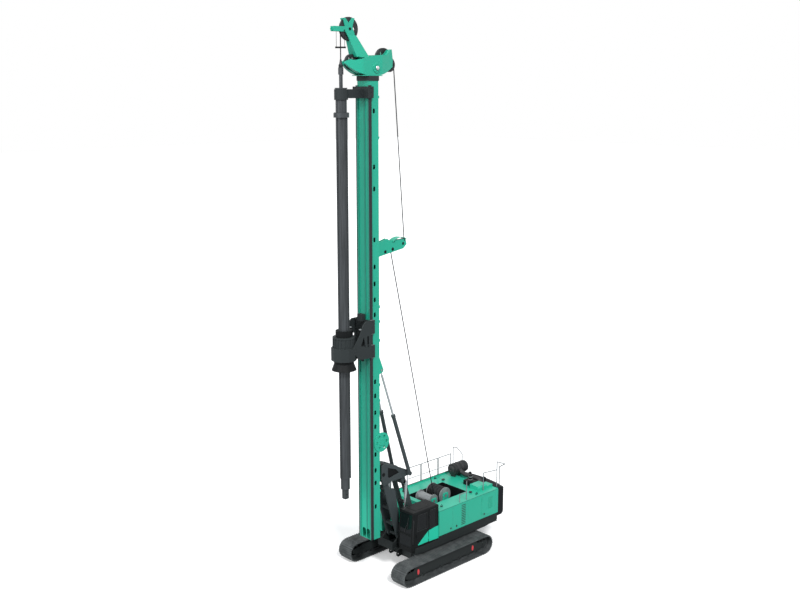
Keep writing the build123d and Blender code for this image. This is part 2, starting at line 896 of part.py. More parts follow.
for name, x_drum, z_drum, rope_radius, flange_radius, half in winches:
    with BuildPart() as drum:
        cross_pin((x_drum, z_drum), rope_radius, -half, half)
        cross_pin((x_drum, z_drum), flange_radius, -half, -half + 30)
        cross_pin((x_drum, z_drum), flange_radius, half - 30, half)
        cross_pin((x_drum, z_drum), winch_shaft, -half - 8 - winch_plate, half + 8 + winch_plate)
    write(drum, f"{name}_drum")

with BuildPart() as winch_frame:
    for name, x_drum, z_drum, rope_radius, flange_radius, half in winches:
        stand = [
            (x_drum - 330, house_floor + house_wall),
            (x_drum + 330, house_floor + house_wall),
            (x_drum + 130, z_drum + 130),
            (x_drum - 130, z_drum + 130),
        ]
        twin_plates(stand, half + 8, half + 8 + winch_plate)
        twin_pins(
            (x_drum, z_drum), winch_shaft + running_gap, half + 8, half + 8 + winch_plate, Mode.SUBTRACT,
        )
write(winch_frame, "winch_frame")

# Deck fittings
cleaner_rear = house_rear - 340
cleaner_length = 860
cleaner_y = -925
cleaner_z = 2900
cleaner_radius = 260
cleaner_rib = 275
cleaner_rib_step = 140

with BuildPart() as air_cleaner:
    with BuildSketch(Plane.YZ.offset(cleaner_rear)) as cleaner_face:
        with Locations((cleaner_y, cleaner_z)):
            Circle(cleaner_radius)
    extrude(cleaner_face.sketch, amount=cleaner_length)
    for index in range(6):
        with BuildSketch(Plane.YZ.offset(cleaner_rear + 80 + index * cleaner_rib_step)) as rib_face:
            with Locations((cleaner_y, cleaner_z)):
                Circle(cleaner_rib)
        extrude(rib_face.sketch, amount=40)
    for x_foot in (house_rear + 90, house_rear + 390):
        block((x_foot, x_foot + 60), (cleaner_y - 125, cleaner_y + 125), (house_top, 2700))
write(air_cleaner, "air_cleaner")

exhaust_x = house_rear + 590
exhaust_y = 320
exhaust_box = 200
exhaust_top = 2760
exhaust_pipe = 80
exhaust_skin = 8

with BuildPart() as exhaust:
    block(
        (exhaust_x - exhaust_box, exhaust_x + exhaust_box), (exhaust_y - 250, exhaust_y + 250),
        (house_top, exhaust_top),
    )
    pipe_end = exhaust_top + 240
    upright((exhaust_x, exhaust_y), exhaust_top, pipe_end, exhaust_pipe)
    upright((exhaust_x, exhaust_y), exhaust_top + 60, pipe_end, exhaust_pipe - exhaust_skin, Mode.SUBTRACT)
write(exhaust, "exhaust")

post_top = 3430
rear_post_top = 3760
rear_rail = 3380
knee_rail = 2910
rail_y = 1420


def tube_run(points, radius):
    """A tube along straight runs, mitred at each bend."""
    with BuildLine() as path:
        Polyline(*points)
    with BuildSketch(Plane(origin=path.line @ 0, z_dir=path.line % 0)) as ring:
        Circle(radius)
    sweep(sections=ring.sketch, path=path.line, transition=Transition.RIGHT)


def rail_frame(x_start, x_end, y, z_foot):
    """One frame of the guard rail: two posts, a top rail and a knee rail."""
    tube_run(
        [(x_start, y, z_foot), (x_start, y, post_top), (x_end, y, post_top), (x_end, y, z_foot)], rail_tube,
    )
    rod_between((x_start, y, knee_rail), (x_end, y, knee_rail), rail_tube - 4)


with BuildPart() as rails:
    for x_start, x_end in (
        (house_front - 960, house_front - 1780),
        (house_front - 1860, house_front - 2900),
        (house_front - 2980, house_rear + 40),
    ):
        rail_frame(x_start, x_end, wall_strip / 2 - half_width, house_top + wall_strip)
    for sign, (x_post, y_post), (x_end, y_end) in ((1, *rear_posts[:2]), (-1, *rear_posts[2:])):
        tube_run(
            [
                (x_post, y_post, post_seat), (x_post, y_post, rear_post_top),
                (x_end, y_end + sign * 320, rear_post_top - 160), (x_end, y_end, rear_post_top - 380),
                (x_end, y_end, post_seat),
            ],
            rail_tube,
        )
    tube_run(
        [
            (house_front - 1345, rail_y, house_top), (house_front - 1345, rail_y, knee_rail),
            (house_front - 1780, rail_y, knee_rail),
        ],
        rail_tube,
    )
    rod_between(
        (house_front - 1780, rail_y, house_top), (house_front - 1780, rail_y, post_top), rail_tube,
    )
    tube_run(
        [
            (cover_rear + 320, 1200, house_top), (cover_rear + 320, 1200, rear_rail),
            (rear_posts[0][0], rear_posts[0][1], rear_rail),
        ],
        rail_tube,
    )
write(rails, "guard_rails")

# Parallel linkage
def arm_outline(foot, head, half_foot, half_head):
    """A tapered arm between two pins, as four corners."""
    run = (head[0] - foot[0], head[1] - foot[1])
    length = hypot(*run)
    across = (run[1] / length, -run[0] / length)
    return [
        (foot[0] - across[0] * half_foot, foot[1] - across[1] * half_foot),
        (foot[0] + across[0] * half_foot, foot[1] + across[1] * half_foot),
        (head[0] + across[0] * half_head, head[1] + across[1] * half_head),
        (head[0] - across[0] * half_head, head[1] - across[1] * half_head),
    ]


boom_boss = 150
link_boss = 120

with BuildPart() as boom:
    twin_plates(arm_outline(boom_foot, boom_head, boom_boss, boom_boss - 10), arm_in, arm_out)
    for pin, boss in ((boom_foot, boom_boss), (boom_head, boom_boss)):
        twin_pins(pin, boss, arm_in - 20, arm_out)
        cross_pin(pin, arm_pin, -cheek_out - 12, cheek_out + 12)
    for share in (0.2, 0.5, 0.8):
        x_tie, z_tie = along(boom_foot, boom_head, share)
        cross_pin((x_tie, z_tie), 85, -arm_in, arm_in)
write(boom, "boom_arm")

with BuildPart() as rear_link:
    twin_plates(arm_outline(link_foot, link_head, link_boss, link_boss), arm_in, arm_out)
    for pin in (link_foot, link_head):
        twin_pins(pin, link_boss, arm_in - 20, arm_out)
        cross_pin(pin, arm_pin, -cheek_out - 12, cheek_out + 12)
    cross_pin(lift_head, 112, -arm_out - 75, arm_out + 75)
    cross_pin(along(link_foot, link_head, 0.45), 80, -arm_in, arm_in)
    twin_pins(lift_head, 45 + drift_gap, arm_out - 60, arm_out + 76, Mode.SUBTRACT)
write(rear_link, "rear_link")

lift_run = (lift_head[0] - lift_foot[0], lift_head[1] - lift_foot[1])
lift_tube_share = 1400 / hypot(*lift_run)

with BuildPart() as lift_barrel:
    for y_side in (-cylinder_y, cylinder_y):
        foot = (lift_foot[0], y_side, lift_foot[1])
        head = (lift_head[0], y_side, lift_head[1])
        rod_between(along(foot, head, 0.035), along(foot, head, lift_tube_share), lift_tube)
        rod_between(
            along(foot, head, lift_tube_share - 0.06), along(foot, head, lift_tube_share), lift_tube + 8,
        )
        cross_pin(lift_foot, 100, y_side - 70, y_side + 70)
        rod_between(
            along(foot, head, 0.09), along(foot, head, lift_tube_share + 0.01),
            lift_rod + running_gap, Mode.SUBTRACT,
        )
    twin_pins(lift_foot, 45 + running_gap, cheek_out, cylinder_y + 90, Mode.SUBTRACT)
write(lift_barrel, "lift_cylinders")

with BuildPart() as lift_rods:
    for y_side in (-cylinder_y, cylinder_y):
        foot = (lift_foot[0], y_side, lift_foot[1])
        head = (lift_head[0], y_side, lift_head[1])
        rod_between(along(foot, head, 0.2), head, lift_rod)
        cross_pin(lift_head, 95, y_side - 60, y_side + 60)
        sign = 1 if y_side > 0 else -1
        cross_pin(lift_head, 45, *sorted((sign * (arm_out - 50), y_side)))
write(lift_rods, "lift_rods")

support_side = [
    (stay_foot[0] - 120, stay_foot[2] - 110),
    (stay_foot[0] - 120, stay_foot[2] + 60),
    (1530, 4670),
    (2270, 4960),
    (2430, 4900),
    (2430, 4280),
    (2320, 4000),
    (2060, 3990),
    (1950, 4080),
    (1330, 4080),
    (1180, 4080),
]
support_window = [
    # corners of the opening in each cheek
    (1420, 4360),
    (1620, 4560),
    (2080, 4740),
    (2080, 4330),
    (1960, 4260),
]

with BuildPart() as support:
    twin_plates(support_side, cheek_in, cheek_out)
    twin_plates(support_window, cheek_in, cheek_out, Mode.SUBTRACT)
    twin_pins(boom_head, arm_pin + running_gap, cheek_in, cheek_out, Mode.SUBTRACT)
    twin_pins(link_head, arm_pin + 2, cheek_in, cheek_out, Mode.SUBTRACT)
    twin_pins(mast_pin, 80 + running_gap, cheek_in, cheek_out, Mode.SUBTRACT)
    for x_tie, z_tie in ((1560, 4600), (2000, 4800), (930, 4230)):
        cross_pin((x_tie, z_tie), 60, -cheek_in, cheek_in)
    for sign in (-1, 1):
        y_near, y_far = sorted((sign * cheek_out, sign * (stay_foot[1] - 75)))
        cross_pin((stay_foot[0], stay_foot[2]), 80, y_near, y_far)
        cross_pin((stay_foot[0], stay_foot[2]), 45, *sorted((sign * cheek_out, sign * (stay_foot[1] + 85))))
write(support, "mast_support")

# Backstay cylinders
for side, sign in (("left", 1), ("right", -1)):
    foot = (stay_foot[0], sign * stay_foot[1], stay_foot[2])
    head = (stay_head[0], sign * stay_head[1], stay_head[2])
    stay_length = (Vector(*head) - Vector(*foot)).length
    tube_share = stay_tube_length / stay_length
    with BuildPart() as tube:
        rod_between(along(foot, head, 0.0185), along(foot, head, tube_share), stay_tube)
        rod_between(along(foot, head, tube_share - 0.02), along(foot, head, tube_share), stay_tube + 14)
        cross_pin((foot[0], foot[2]), 95, foot[1] - 65, foot[1] + 65)
        rod_between(
            along(foot, head, 0.05), along(foot, head, tube_share + 0.01),
            stay_rod + running_gap, Mode.SUBTRACT,
        )
        cross_pin((foot[0], foot[2]), 45 + running_gap, foot[1] - 66, foot[1] + 66, Mode.SUBTRACT)
    write(tube, f"backstay_tube_{side}")
    with BuildPart() as rod:
        rod_between(along(foot, head, 0.35), along(foot, head, 0.952), stay_rod)
        rod_between(along(foot, head, 0.952), along(foot, head, 0.99), stay_neck)
        cross_pin((head[0], head[2]), 85, head[1] - stay_eye_half, head[1] + stay_eye_half)
        cross_pin((head[0], head[2]), 35, head[1] - 95, head[1] + 95)
    write(rod, f"backstay_rod_{side}")

# Mast
crowd = (2400, 5950)
crowd_reach = 415
crowd_shaft = 60
crowd_flange = 330
crowd_half = mast_half - 25
bracket_low = 8940
bracket_high = 9600
slot_x = 2730
slot_height = 200
slot_width = 110
slot_levels = (
    3190, 4240, 4785, 5485, 6690, 7290, 8010, 8610, 11410, 12030, 12680, 13370, 14460, 16480, 17340,
    19500,
)
foot_slot_half = 110
foot_slot_top = 2190
collar_top = 20830
collar_lip = 20

with BuildPart() as mast:
    block((mast_rear, mast_front), (-mast_half, mast_half), (mast_low, mast_top))
    block(
        (mast_rear + mast_wall, mast_front - mast_wall),
        (-mast_half + mast_wall, mast_half - mast_wall),
        (mast_low + mast_wall, mast_top - mast_wall),
        Mode.SUBTRACT,
    )
    ear = [
        (mast_rear, bracket_low - 60),
        (mast_rear, bracket_high),
        (stay_head[0] - 60, stay_head[2] + 110),
        (stay_head[0] - 100, stay_head[2]),
        (stay_head[0] - 60, stay_head[2] - 90),
    ]
    twin_plates(ear, mast_half - 34, mast_half)
    twin_plates(ear, 2 * stay_head[1] - mast_half, 2 * stay_head[1] - mast_half + 34)
    twin_pins((stay_head[0], stay_head[2]), 35 + drift_gap, 140, 420, Mode.SUBTRACT)
    mid_bracket = [
        (mast_rear, 13660),
        (mast_rear, 14200),
        (1800, 14390),
        (1650, 14300),
        (760, 14280),
        (700, 14060),
        (900, 13900),
    ]
    twin_plates(mid_bracket, 53, 85)
    twin_pins((910, 14110), 45 + running_gap, 53, 85, Mode.SUBTRACT)
    cross_pin(crowd, crowd_flange + 20, -mast_half + mast_wall, mast_half - mast_wall, Mode.SUBTRACT)
    with BuildSketch(Plane.XZ.offset(-mast_half)) as slots:
        for z_slot in slot_levels:
            with Locations((slot_x, z_slot)):
                SlotOverall(slot_height, slot_width, rotation=90)
    extrude(slots.sketch, amount=2 * mast_half, mode=Mode.SUBTRACT)
    with BuildSketch(Plane.YZ.offset(mast_front - mast_wall)) as foot_slots:
        for y_slot in (-foot_slot_half - 15, foot_slot_half + 15):
            with Locations((y_slot, mast_low)):
                SlotOverall(2 * (foot_slot_top - mast_low), 2 * foot_slot_half, rotation=90)
    extrude(foot_slots.sketch, amount=mast_wall, mode=Mode.SUBTRACT)
write(mast, "mast")

with BuildPart() as mast_rails:
    for y_low, y_high in ((mast_half, rail_half), (-rail_half, -mast_half)):
        block((rail_rear, rail_front), (y_low, y_high), (rail_low, rail_top))
    for y_low, y_high in ((mast_half - 60, mast_half), (-mast_half, -mast_half + 60)):
        block((mast_front, rail_front), (y_low, y_high), (rail_low, rail_top))
    block((mast_front, mast_front + 20), (50, 110), (foot_slot_top + 20, rail_top))
    block(
        (mast_rear - collar_lip, mast_front + collar_lip),
        (-mast_half - collar_lip, mast_half + collar_lip), (mast_top, collar_top),
    )
write(mast_rails, "mast_rails")

with BuildPart() as pivot_block:
    block((mast_pin[0] - 90, mast_rear), (-cheek_in + 25, cheek_in - 25), (4330, 4950))
    cross_pin(mast_pin, 80, -cheek_out - 15, cheek_out + 15)
write(pivot_block, "mast_pivot_block")

# Crowd winch in its cheeks behind the mast
with BuildPart() as crowd_cheeks:
    twin_pins(crowd, crowd_reach, mast_half, mast_half + 32)
    for turn in range(6):
        twin_pins(
            (crowd[0] + 270 * cos(turn * pi / 3), crowd[1] + 270 * sin(turn * pi / 3)), 60,
            mast_half, mast_half + 32, Mode.SUBTRACT,
        )
    twin_pins(crowd, 150, mast_half, mast_half + 46)
    twin_pins(crowd, crowd_shaft + running_gap, mast_half, mast_half + 46, Mode.SUBTRACT)
write(crowd_cheeks, "crowd_winch_cheeks")

with BuildPart() as crowd_drum:
    cross_pin(crowd, crowd_flange - 50, -crowd_half, crowd_half)
    twin_pins(crowd, crowd_flange, crowd_half - 24, crowd_half)
    cross_pin(crowd, crowd_shaft, -mast_half - 50, mast_half + 50)
write(crowd_drum, "crowd_winch_drum")

# Mast head and its sheaves
sheave_half = 45
sheave_gap = 8
sheave_pin = 45
sheave_slot = sheave_half + sheave_gap
pin_reach = sheave_slot + 32
pair_web = 7
pair_shift = pair_web + sheave_gap + sheave_half
pair_slot = pair_shift + sheave_slot
rear_half = pair_slot + 30
jib_wheel = (3690, 22560)
front_wheel = (3600, 21340)
lower_wheel = (1655, 21270)
upper_wheel = (1870, 21490)
bracket_wheel = (910, 14110)
sheaves = [
    # name, centre, middle y, radius, low and high end of its pin in y
    ("jib_sheave", jib_wheel, 0, 440, -pin_reach, pin_reach),
    ("head_sheave_front", front_wheel, 0, 290, -pin_reach, pin_reach),
    ("head_sheave_rear", lower_wheel, pair_shift, 280, -pair_web, rear_half),
    ("head_sheave_upper", upper_wheel, -pair_shift, 420, -rear_half, pair_web),
    ("bracket_sheave", bracket_wheel, 0, 190, -pin_reach, pin_reach),
]
head_half = 330
head_tip = 125
head_wall = 30
head_low = 20830
boss_place = (2560, 21130)
head_plan = [
    # x, half width
    (1480, rear_half),
    (2250, head_half),
    (3240, head_half),
    (4000, head_tip),
]
jib_low = 21540
jib_high = 22330
star = [
    (3440, 22150),
    (3700, 22150),
    (3900, 22450),
    (4490, 22450),
    (4520, 22545),
    (4490, 22640),
    (3930, 22640),
    (4020, 22950),
    (3900, 22950),
    (3740, 22770),
    (3580, 22960),
    (3450, 22960),
    (3560, 22640),
    (3460, 22400),
]

with BuildPart() as mast_head:
    with BuildSketch(Plane.XY.offset(head_low)) as head_walls:
        with BuildLine():
            Polyline(
                *[(x, half) for x, half in head_plan], *[(x, -half) for x, half in reversed(head_plan)],
                close=True,
            )
        make_face()
        with Locations(((2250 + 3240) / 2, 0)):
            Rectangle(3240 - 2250, 2 * (head_half - head_wall), mode=Mode.SUBTRACT)
        with Locations((1890, 0)):
            Rectangle(860, 2 * pair_slot, mode=Mode.SUBTRACT)
        with Locations((3640, 0)):
            Rectangle(860, 2 * sheave_slot, mode=Mode.SUBTRACT)
        with Locations((1890, 0)):
            Rectangle(860, 2 * pair_web)
    extrude(head_walls.sketch, amount=1100)
    with BuildSketch(Plane.XZ.offset(-head_half)) as head_face:
        with BuildLine():
            ThreePointArc((1560, 21190), (2700, head_low), (3990, 21290))
            Polyline((3990, 21290), (3960, 21350), (3740, 21440), (3500, 21400))
            ThreePointArc((3500, 21400), (2700, 21590), (1960, 21630))
            Polyline((1960, 21630), (1720, 21850), (1610, 21850), (1540, 21440), (1560, 21190))
        make_face()
    extrude(head_face.sketch, amount=2 * head_half, mode=Mode.INTERSECT)
    block((2250, 3240), (-head_half, head_half), (head_low, head_low + head_wall))
    block((2330, 3300), (-head_half + head_wall, head_half - head_wall), (21510, jib_low + 10))
    twin_pins(boss_place, 190, head_half, head_half + 30)
    twin_pins(boss_place, 80, head_half + 30, head_half + 60)
    for pin, y_low, y_high in (
        (front_wheel, sheave_slot, pin_reach), (front_wheel, -pin_reach, -sheave_slot),
        (lower_wheel, -pair_web, rear_half), (upper_wheel, -rear_half, pair_web),
    ):
        cross_pin(pin, sheave_pin + running_gap, y_low, y_high, Mode.SUBTRACT)
    with BuildSketch(Plane.XY.offset(jib_low)) as jib_base:
        with Locations(((2840 + 3470) / 2, 0)):
            Rectangle(3470 - 2840, 440)
    with BuildSketch(Plane.XY.offset(jib_high)) as jib_top:
        with Locations(((3380 + 3800) / 2, 0)):
            Rectangle(420, 2 * pin_reach)
    loft([jib_base.sketch.face(), jib_top.sketch.face()])
    for name, wheel, y_wheel, radius, pin_low, pin_high in sheaves[:2]:
        cross_pin(wheel, radius + 2 * sheave_gap, -sheave_slot, sheave_slot, Mode.SUBTRACT)
    twin_plates(star, sheave_slot, pin_reach)
    twin_pins(jib_wheel, 110, sheave_slot, pin_reach)
    block((4380, 4450), (-sheave_slot, sheave_slot), (22480, 22600))
    twin_pins(jib_wheel, sheave_pin + running_gap, sheave_slot, pin_reach, Mode.SUBTRACT)
write(mast_head, "mast_head")

for name, (x_sheave, z_sheave), y_sheave, radius, pin_low, pin_high in sheaves:
    with BuildPart() as sheave:
        cross_pin((x_sheave, z_sheave), radius, y_sheave - sheave_half, y_sheave + sheave_half)
        with BuildSketch(Plane.XY) as groove:
            with BuildLine():
                Polyline(
                    (radius - 42, -12), (radius + 5, -sheave_half + 6), (radius + 5, sheave_half - 6),
                    (radius - 42, 12), close=True,
                )
            make_face()
        around = Location((x_sheave, y_sheave, z_sheave))
        revolved = revolve(groove.sketch, axis=Axis.Y, mode=Mode.PRIVATE)
        add(around * revolved, mode=Mode.SUBTRACT)
        for turn in range(6):
            place = (
                x_sheave + radius * 0.55 * cos(turn * pi / 3), z_sheave + radius * 0.55 * sin(turn * pi / 3),
            )
            cross_pin(place, radius * 0.17, y_sheave - sheave_half, y_sheave + sheave_half, Mode.SUBTRACT)
        cross_pin((x_sheave, z_sheave), sheave_pin, pin_low, pin_high)
    write(sheave, name)

# Carriage and rotary drive
shoe_gap = running_gap
shoe_wall = 60
shoe_out = rail_half + shoe_gap + shoe_wall
shoe_levels = [
    # low z, high z of each pair of slide shoes
    (carriage_low, carriage_low + 520),
    (carriage_top - 560, carriage_top),
]


def slide_shoe(z_low, z_high):
    """A pair of channel shoes that grip the two mast rails."""
    for sign in (-1, 1):
        block(
            (rail_rear - shoe_gap - shoe_wall, rail_front + shoe_gap + shoe_wall),
            sorted((sign * (mast_half + open_gap), sign * shoe_out)), (z_low, z_high),
        )
        block(
            (rail_rear - shoe_gap, rail_front + shoe_gap),
            sorted((sign * (mast_half - 1), sign * (rail_half + shoe_gap))),
            (z_low, z_high), Mode.SUBTRACT,
        )


carriage_back = rail_front + shoe_gap + shoe_wall
carriage_side = [
    (carriage_back - 30, carriage_low),
    (3660, carriage_low + 30),
    (3980, 10050),
    (4000, 10250),
    (3640, 10700),
    (3450, 11110),
    (3290, carriage_top),
    (carriage_back - 30, carriage_top),
]
carriage_window = [
    (3600, 10240),
    (3425, 10620),
    (3330, 10190),
]
carriage_slot = [
    (3150, 10150),
    (3240, 10150),
    (3240, 10620),
    (3150, 10620),
]
gearbox_low = 9720
gearbox_high = 10250
rim_high = 10680
collar_high = 10940
sleeve_radius = 330

with BuildPart() as carriage:
    for z_low, z_high in shoe_levels:
        slide_shoe(z_low, z_high)
    twin_plates(carriage_side, shoe_out - 40, shoe_out)
    for opening in (carriage_window, carriage_slot):
        twin_plates(opening, shoe_out - 40, shoe_out, Mode.SUBTRACT)
    block((carriage_back - 20, carriage_back + 20), (-shoe_out, shoe_out), (carriage_low, carriage_top))
    block((carriage_back, carriage_back + 190), (-130, 130), (carriage_top - 60, carriage_top + 230))
    block((carriage_back, carriage_back + 60), (-60, 60), (carriage_low - 200, carriage_low + 20))
    block((carriage_back, 3600), (-shoe_out + 40, shoe_out - 40), (gearbox_low, gearbox_high))
    with BuildSketch(Plane.XY.offset(gearbox_low)) as gearbox:
        with Locations((drill_x, 0)):
            RegularPolygon(drive_radius, 10)
    extrude(gearbox.sketch, amount=gearbox_high - gearbox_low)
    upright((drill_x, 0), gearbox_high, rim_high, rim_radius - 25)
    with BuildSketch(Plane.XY.offset(gearbox_high)) as rim_ribs:
        with Locations((drill_x, 0)):
            with PolarLocations(rim_radius - 25, rib_count):
                Rectangle(50, 24)
    extrude(rim_ribs.sketch, amount=rim_high - gearbox_high)
    upright((drill_x, 0), rim_high - 50, rim_high, rim_radius)
    upright((drill_x, 0), gearbox_low, rim_high, sleeve_radius + running_gap, Mode.SUBTRACT)
write(carriage, "carriage")

with BuildPart() as motors:
    for y_motor in (-310, 310):
        upright((3470, y_motor), gearbox_high, 10780, 95)
        upright((3470, y_motor), 10780, 10900, 70)
write(motors, "drive_motors")

key_count = 3
key_reach = kelly_outer_radius + kelly_key
sleeve_bore = key_reach + open_gap

with BuildPart() as drive_sleeve:
    upright((drill_x, 0), 9590, collar_high, sleeve_radius)
    with BuildSketch(Plane.XY.offset(9320)) as cone_low:
        with Locations((drill_x, 0)):
            Circle(500)
    with BuildSketch(Plane.XY.offset(9590)) as cone_high:
        with Locations((drill_x, 0)):
            Circle(sleeve_radius + 70)
    loft([cone_low.sketch.face(), cone_high.sketch.face()])
    upright((drill_x, 0), 9590, gearbox_low - 20, sleeve_radius + 70)
    upright((drill_x, 0), 9320, collar_high, sleeve_bore, Mode.SUBTRACT)
write(drive_sleeve, "drive_sleeve")

with BuildPart() as kelly_outer:
    upright((drill_x, 0), kelly_low, 20320, kelly_outer_radius)
    upright((drill_x, 0), 19270, kelly_top, 300)
    upright((drill_x, 0), 20340, 20380, 240)
    upright((drill_x, 0), 20320, 20340, kelly_outer_radius)
    with Locations((drill_x, 0, (kelly_low + 19270) / 2)):
        with PolarLocations(kelly_outer_radius, key_count):
            Box(2 * kelly_key, kelly_key_width, 19270 - kelly_low)
    upright((drill_x, 0), kelly_low, 20380, kelly_inner_radius + running_gap, Mode.SUBTRACT)
    upright((drill_x, 0), kelly_low + 250, 20380, kelly_outer_bore, Mode.SUBTRACT)
write(kelly_outer, "kelly_outer")

with BuildPart() as kelly_inner:
    upright((drill_x, 0), 4270, 19800, kelly_inner_radius)
    upright((drill_x, 0), 19800, 20870, 70)
    upright((drill_x, 0), 20870, 21130, 100)
    upright((drill_x, 0), 4300, 19780, kelly_inner_bore, Mode.SUBTRACT)
    block((drill_x - 100, drill_x + 100), (-100, 100), (kelly_end, 4270))
    cross_pin((drill_x, 4030), 32, -100, 100, Mode.SUBTRACT)
write(kelly_inner, "kelly_inner")

guide_low = 19930
guide_high = 20330

with BuildPart() as kelly_guide:
    slide_shoe(guide_low + 60, guide_high + 100)
    block(
        (carriage_back - 20, carriage_back + 40), (-shoe_out, shoe_out), (guide_low + 60, guide_high + 100),
    )
    block((carriage_back, drill_x), (-130, 130), (guide_low + 60, guide_high))
    upright((drill_x, 0), guide_low, guide_high, 265)
    upright((drill_x, 0), guide_low, guide_high, kelly_outer_radius + running_gap, Mode.SUBTRACT)
write(kelly_guide, "kelly_guide")
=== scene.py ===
# %% [markdown]
# # A rotary piling rig, dressed in Blender
#
# The construction comes ready made: every plate, pin, cylinder and sheave is already at its real
# size and place. This lesson gives those pieces their finishes, and adds what is too small or too
# soft for the construction model: ropes, bolts, caps, latches, rubber seals and the driver's
# controls. Everything is in metres. +X points to the mast, +Y to the cab side and +Z up.

import json
import math

import bpy
import numpy as np
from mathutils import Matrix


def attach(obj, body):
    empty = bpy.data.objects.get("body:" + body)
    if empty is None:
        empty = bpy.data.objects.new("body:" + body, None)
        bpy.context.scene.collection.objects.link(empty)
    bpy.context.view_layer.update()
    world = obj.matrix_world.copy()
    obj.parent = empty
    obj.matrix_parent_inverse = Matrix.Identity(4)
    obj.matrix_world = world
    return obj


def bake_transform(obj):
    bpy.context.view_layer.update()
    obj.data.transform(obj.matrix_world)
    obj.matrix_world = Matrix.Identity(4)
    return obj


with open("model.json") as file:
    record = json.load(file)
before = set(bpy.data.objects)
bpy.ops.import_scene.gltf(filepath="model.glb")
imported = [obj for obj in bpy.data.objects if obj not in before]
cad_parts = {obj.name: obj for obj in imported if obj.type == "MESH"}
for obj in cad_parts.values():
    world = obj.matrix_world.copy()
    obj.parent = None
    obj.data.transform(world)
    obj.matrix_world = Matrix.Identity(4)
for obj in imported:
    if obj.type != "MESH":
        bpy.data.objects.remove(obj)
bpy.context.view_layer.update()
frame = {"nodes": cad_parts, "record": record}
scene = bpy.context.scene
# The right side is -Y. It comes first wherever a piece is made once a side.
both_sides = (("right", -1), ("left", 1))

# %% [markdown]
# ## Colours and shader nodes
#
# Colours are written as sRGB hex values, the way a paint chart gives them. A shader works in linear
# light, so one function converts them. A second one adds any shader node, with its settings and
# whatever feeds it, and a few short ones add the nodes that every finish needs: noise, a mix of two
# colours, a sum, a change of range and a bump. Each material below then reads as a recipe.

# %% Helpers for colours and nodes
def linear(code):
    """Each channel of an sRGB hex value, decoded to linear light by the sRGB curve."""
    values = np.array([int(code[i:i + 2], 16) for i in (1, 3, 5)]) / 255
    decoded = np.where(values <= 0.04045, values / 12.92, ((values + 0.055) / 1.055) ** 2.4)
    return (*(float(v) for v in decoded), 1.0)


def feed(tree, node, inputs):
    """Fills each input of a node with a value, or links it to a socket."""
    for key, value in inputs.items():
        if isinstance(value, bpy.types.NodeSocket):
            tree.links.new(value, node.inputs[key])
        else:
            node.inputs[key].default_value = value


def add_node(tree, kind, inputs=None, **settings):
    """Adds a node, sets its settings and feeds its inputs."""
    made = tree.nodes.new(kind)
    for name, value in settings.items():
        setattr(made, name, value)
    feed(tree, made, inputs or {})
    return made


def noise(tree, place, scale, detail):
    """Cloudy noise between nought and one, with a scale per metre."""
    inputs = {"Vector": place, "Scale": scale, "Detail": detail}
    return add_node(tree, "ShaderNodeTexNoise", inputs).outputs[0]


def mix(tree, share, first, second):
    """Turns from the first colour to the second as the share grows from nought to one."""
    first, second = (linear(colour) if isinstance(colour, str) else colour for colour in (first, second))
    made = add_node(tree, "ShaderNodeMix", {0: share, 6: first, 7: second}, data_type="RGBA")
    return made.outputs[2]


def calculate(tree, operation, *values):
    """The result of one operation on numbers or sockets."""
    return add_node(tree, "ShaderNodeMath", dict(enumerate(values)), operation=operation).outputs[0]


def ramp(tree, value, low, high, start=0.0, end=1.0):
    """Goes evenly from start to end while a value goes from low to high, and stays there beyond."""
    inputs = {"Value": value, "From Min": low, "From Max": high, "To Min": start, "To Max": end}
    return add_node(tree, "ShaderNodeMapRange", inputs).outputs[0]


def bumped(tree, height, strength, depth, **normal):
    """A normal that is tilted by the slope of a height."""
    inputs = {"Height": height, "Strength": strength, "Distance": depth, **normal}
    return add_node(tree, "ShaderNodeBump", inputs).outputs[0]


def start_material(name):
    """An empty material with its shader and output, and its Object coordinates."""
    material = bpy.data.materials.new(name)
    material.use_nodes = True
    tree = material.node_tree
    tree.nodes.clear()
    shader = add_node(tree, "ShaderNodeBsdfPrincipled")
    add_node(tree, "ShaderNodeOutputMaterial", {"Surface": shader.outputs[0]})
    place = add_node(tree, "ShaderNodeTexCoord").outputs["Object"]
    return material, tree, shader, place


# %% [markdown]
# ## The camera
#
# The picture was fitted with a pinhole camera before any piece was drawn. It stands 20 m up, about
# 43 m from the rig, and looks slightly down along the front and the cab side. The focal length is
# in pixels of an 800 pixel wide picture, and a 36 mm sensor turns it into a lens.

# %% Camera
picture_width = 800
sensor_width = 36.0
focal_pixels = 1032.8
# The origin lies on the slewing axis, slew_shift ahead of the one that the picture was fitted with.
slew_shift = 0.24
camera_place = (30.27 - slew_shift, 30.53, 20.32)
camera_pitch = math.radians(11.525)
camera_heading = (-0.6891, -0.7247)
camera_reach = 500.0

camera_data = bpy.data.cameras.new("camera")
camera_data.sensor_width = sensor_width
camera_data.lens = focal_pixels / picture_width * sensor_width
camera_data.clip_end = camera_reach
camera = bpy.data.objects.new("camera", camera_data)
scene.collection.objects.link(camera)
camera.location = camera_place
camera.rotation_mode = "XYZ"
camera.rotation_euler = (
    math.pi / 2 - camera_pitch,
    0.0,
    math.atan2(camera_heading[1], camera_heading[0]) - math.pi / 2,
)
scene.camera = camera
print("lens in mm:", round(camera_data.lens, 2))

# %% [markdown]
# ## Light and floor
#
# The rig stands in a plain pale studio. A large soft sun on the cab side lights the side panels and
# a second, softer one fills the front. The world fills the shadows, and shows as white to the
# camera and in reflections, so that gloss paint and chrome pick up the same pale room.

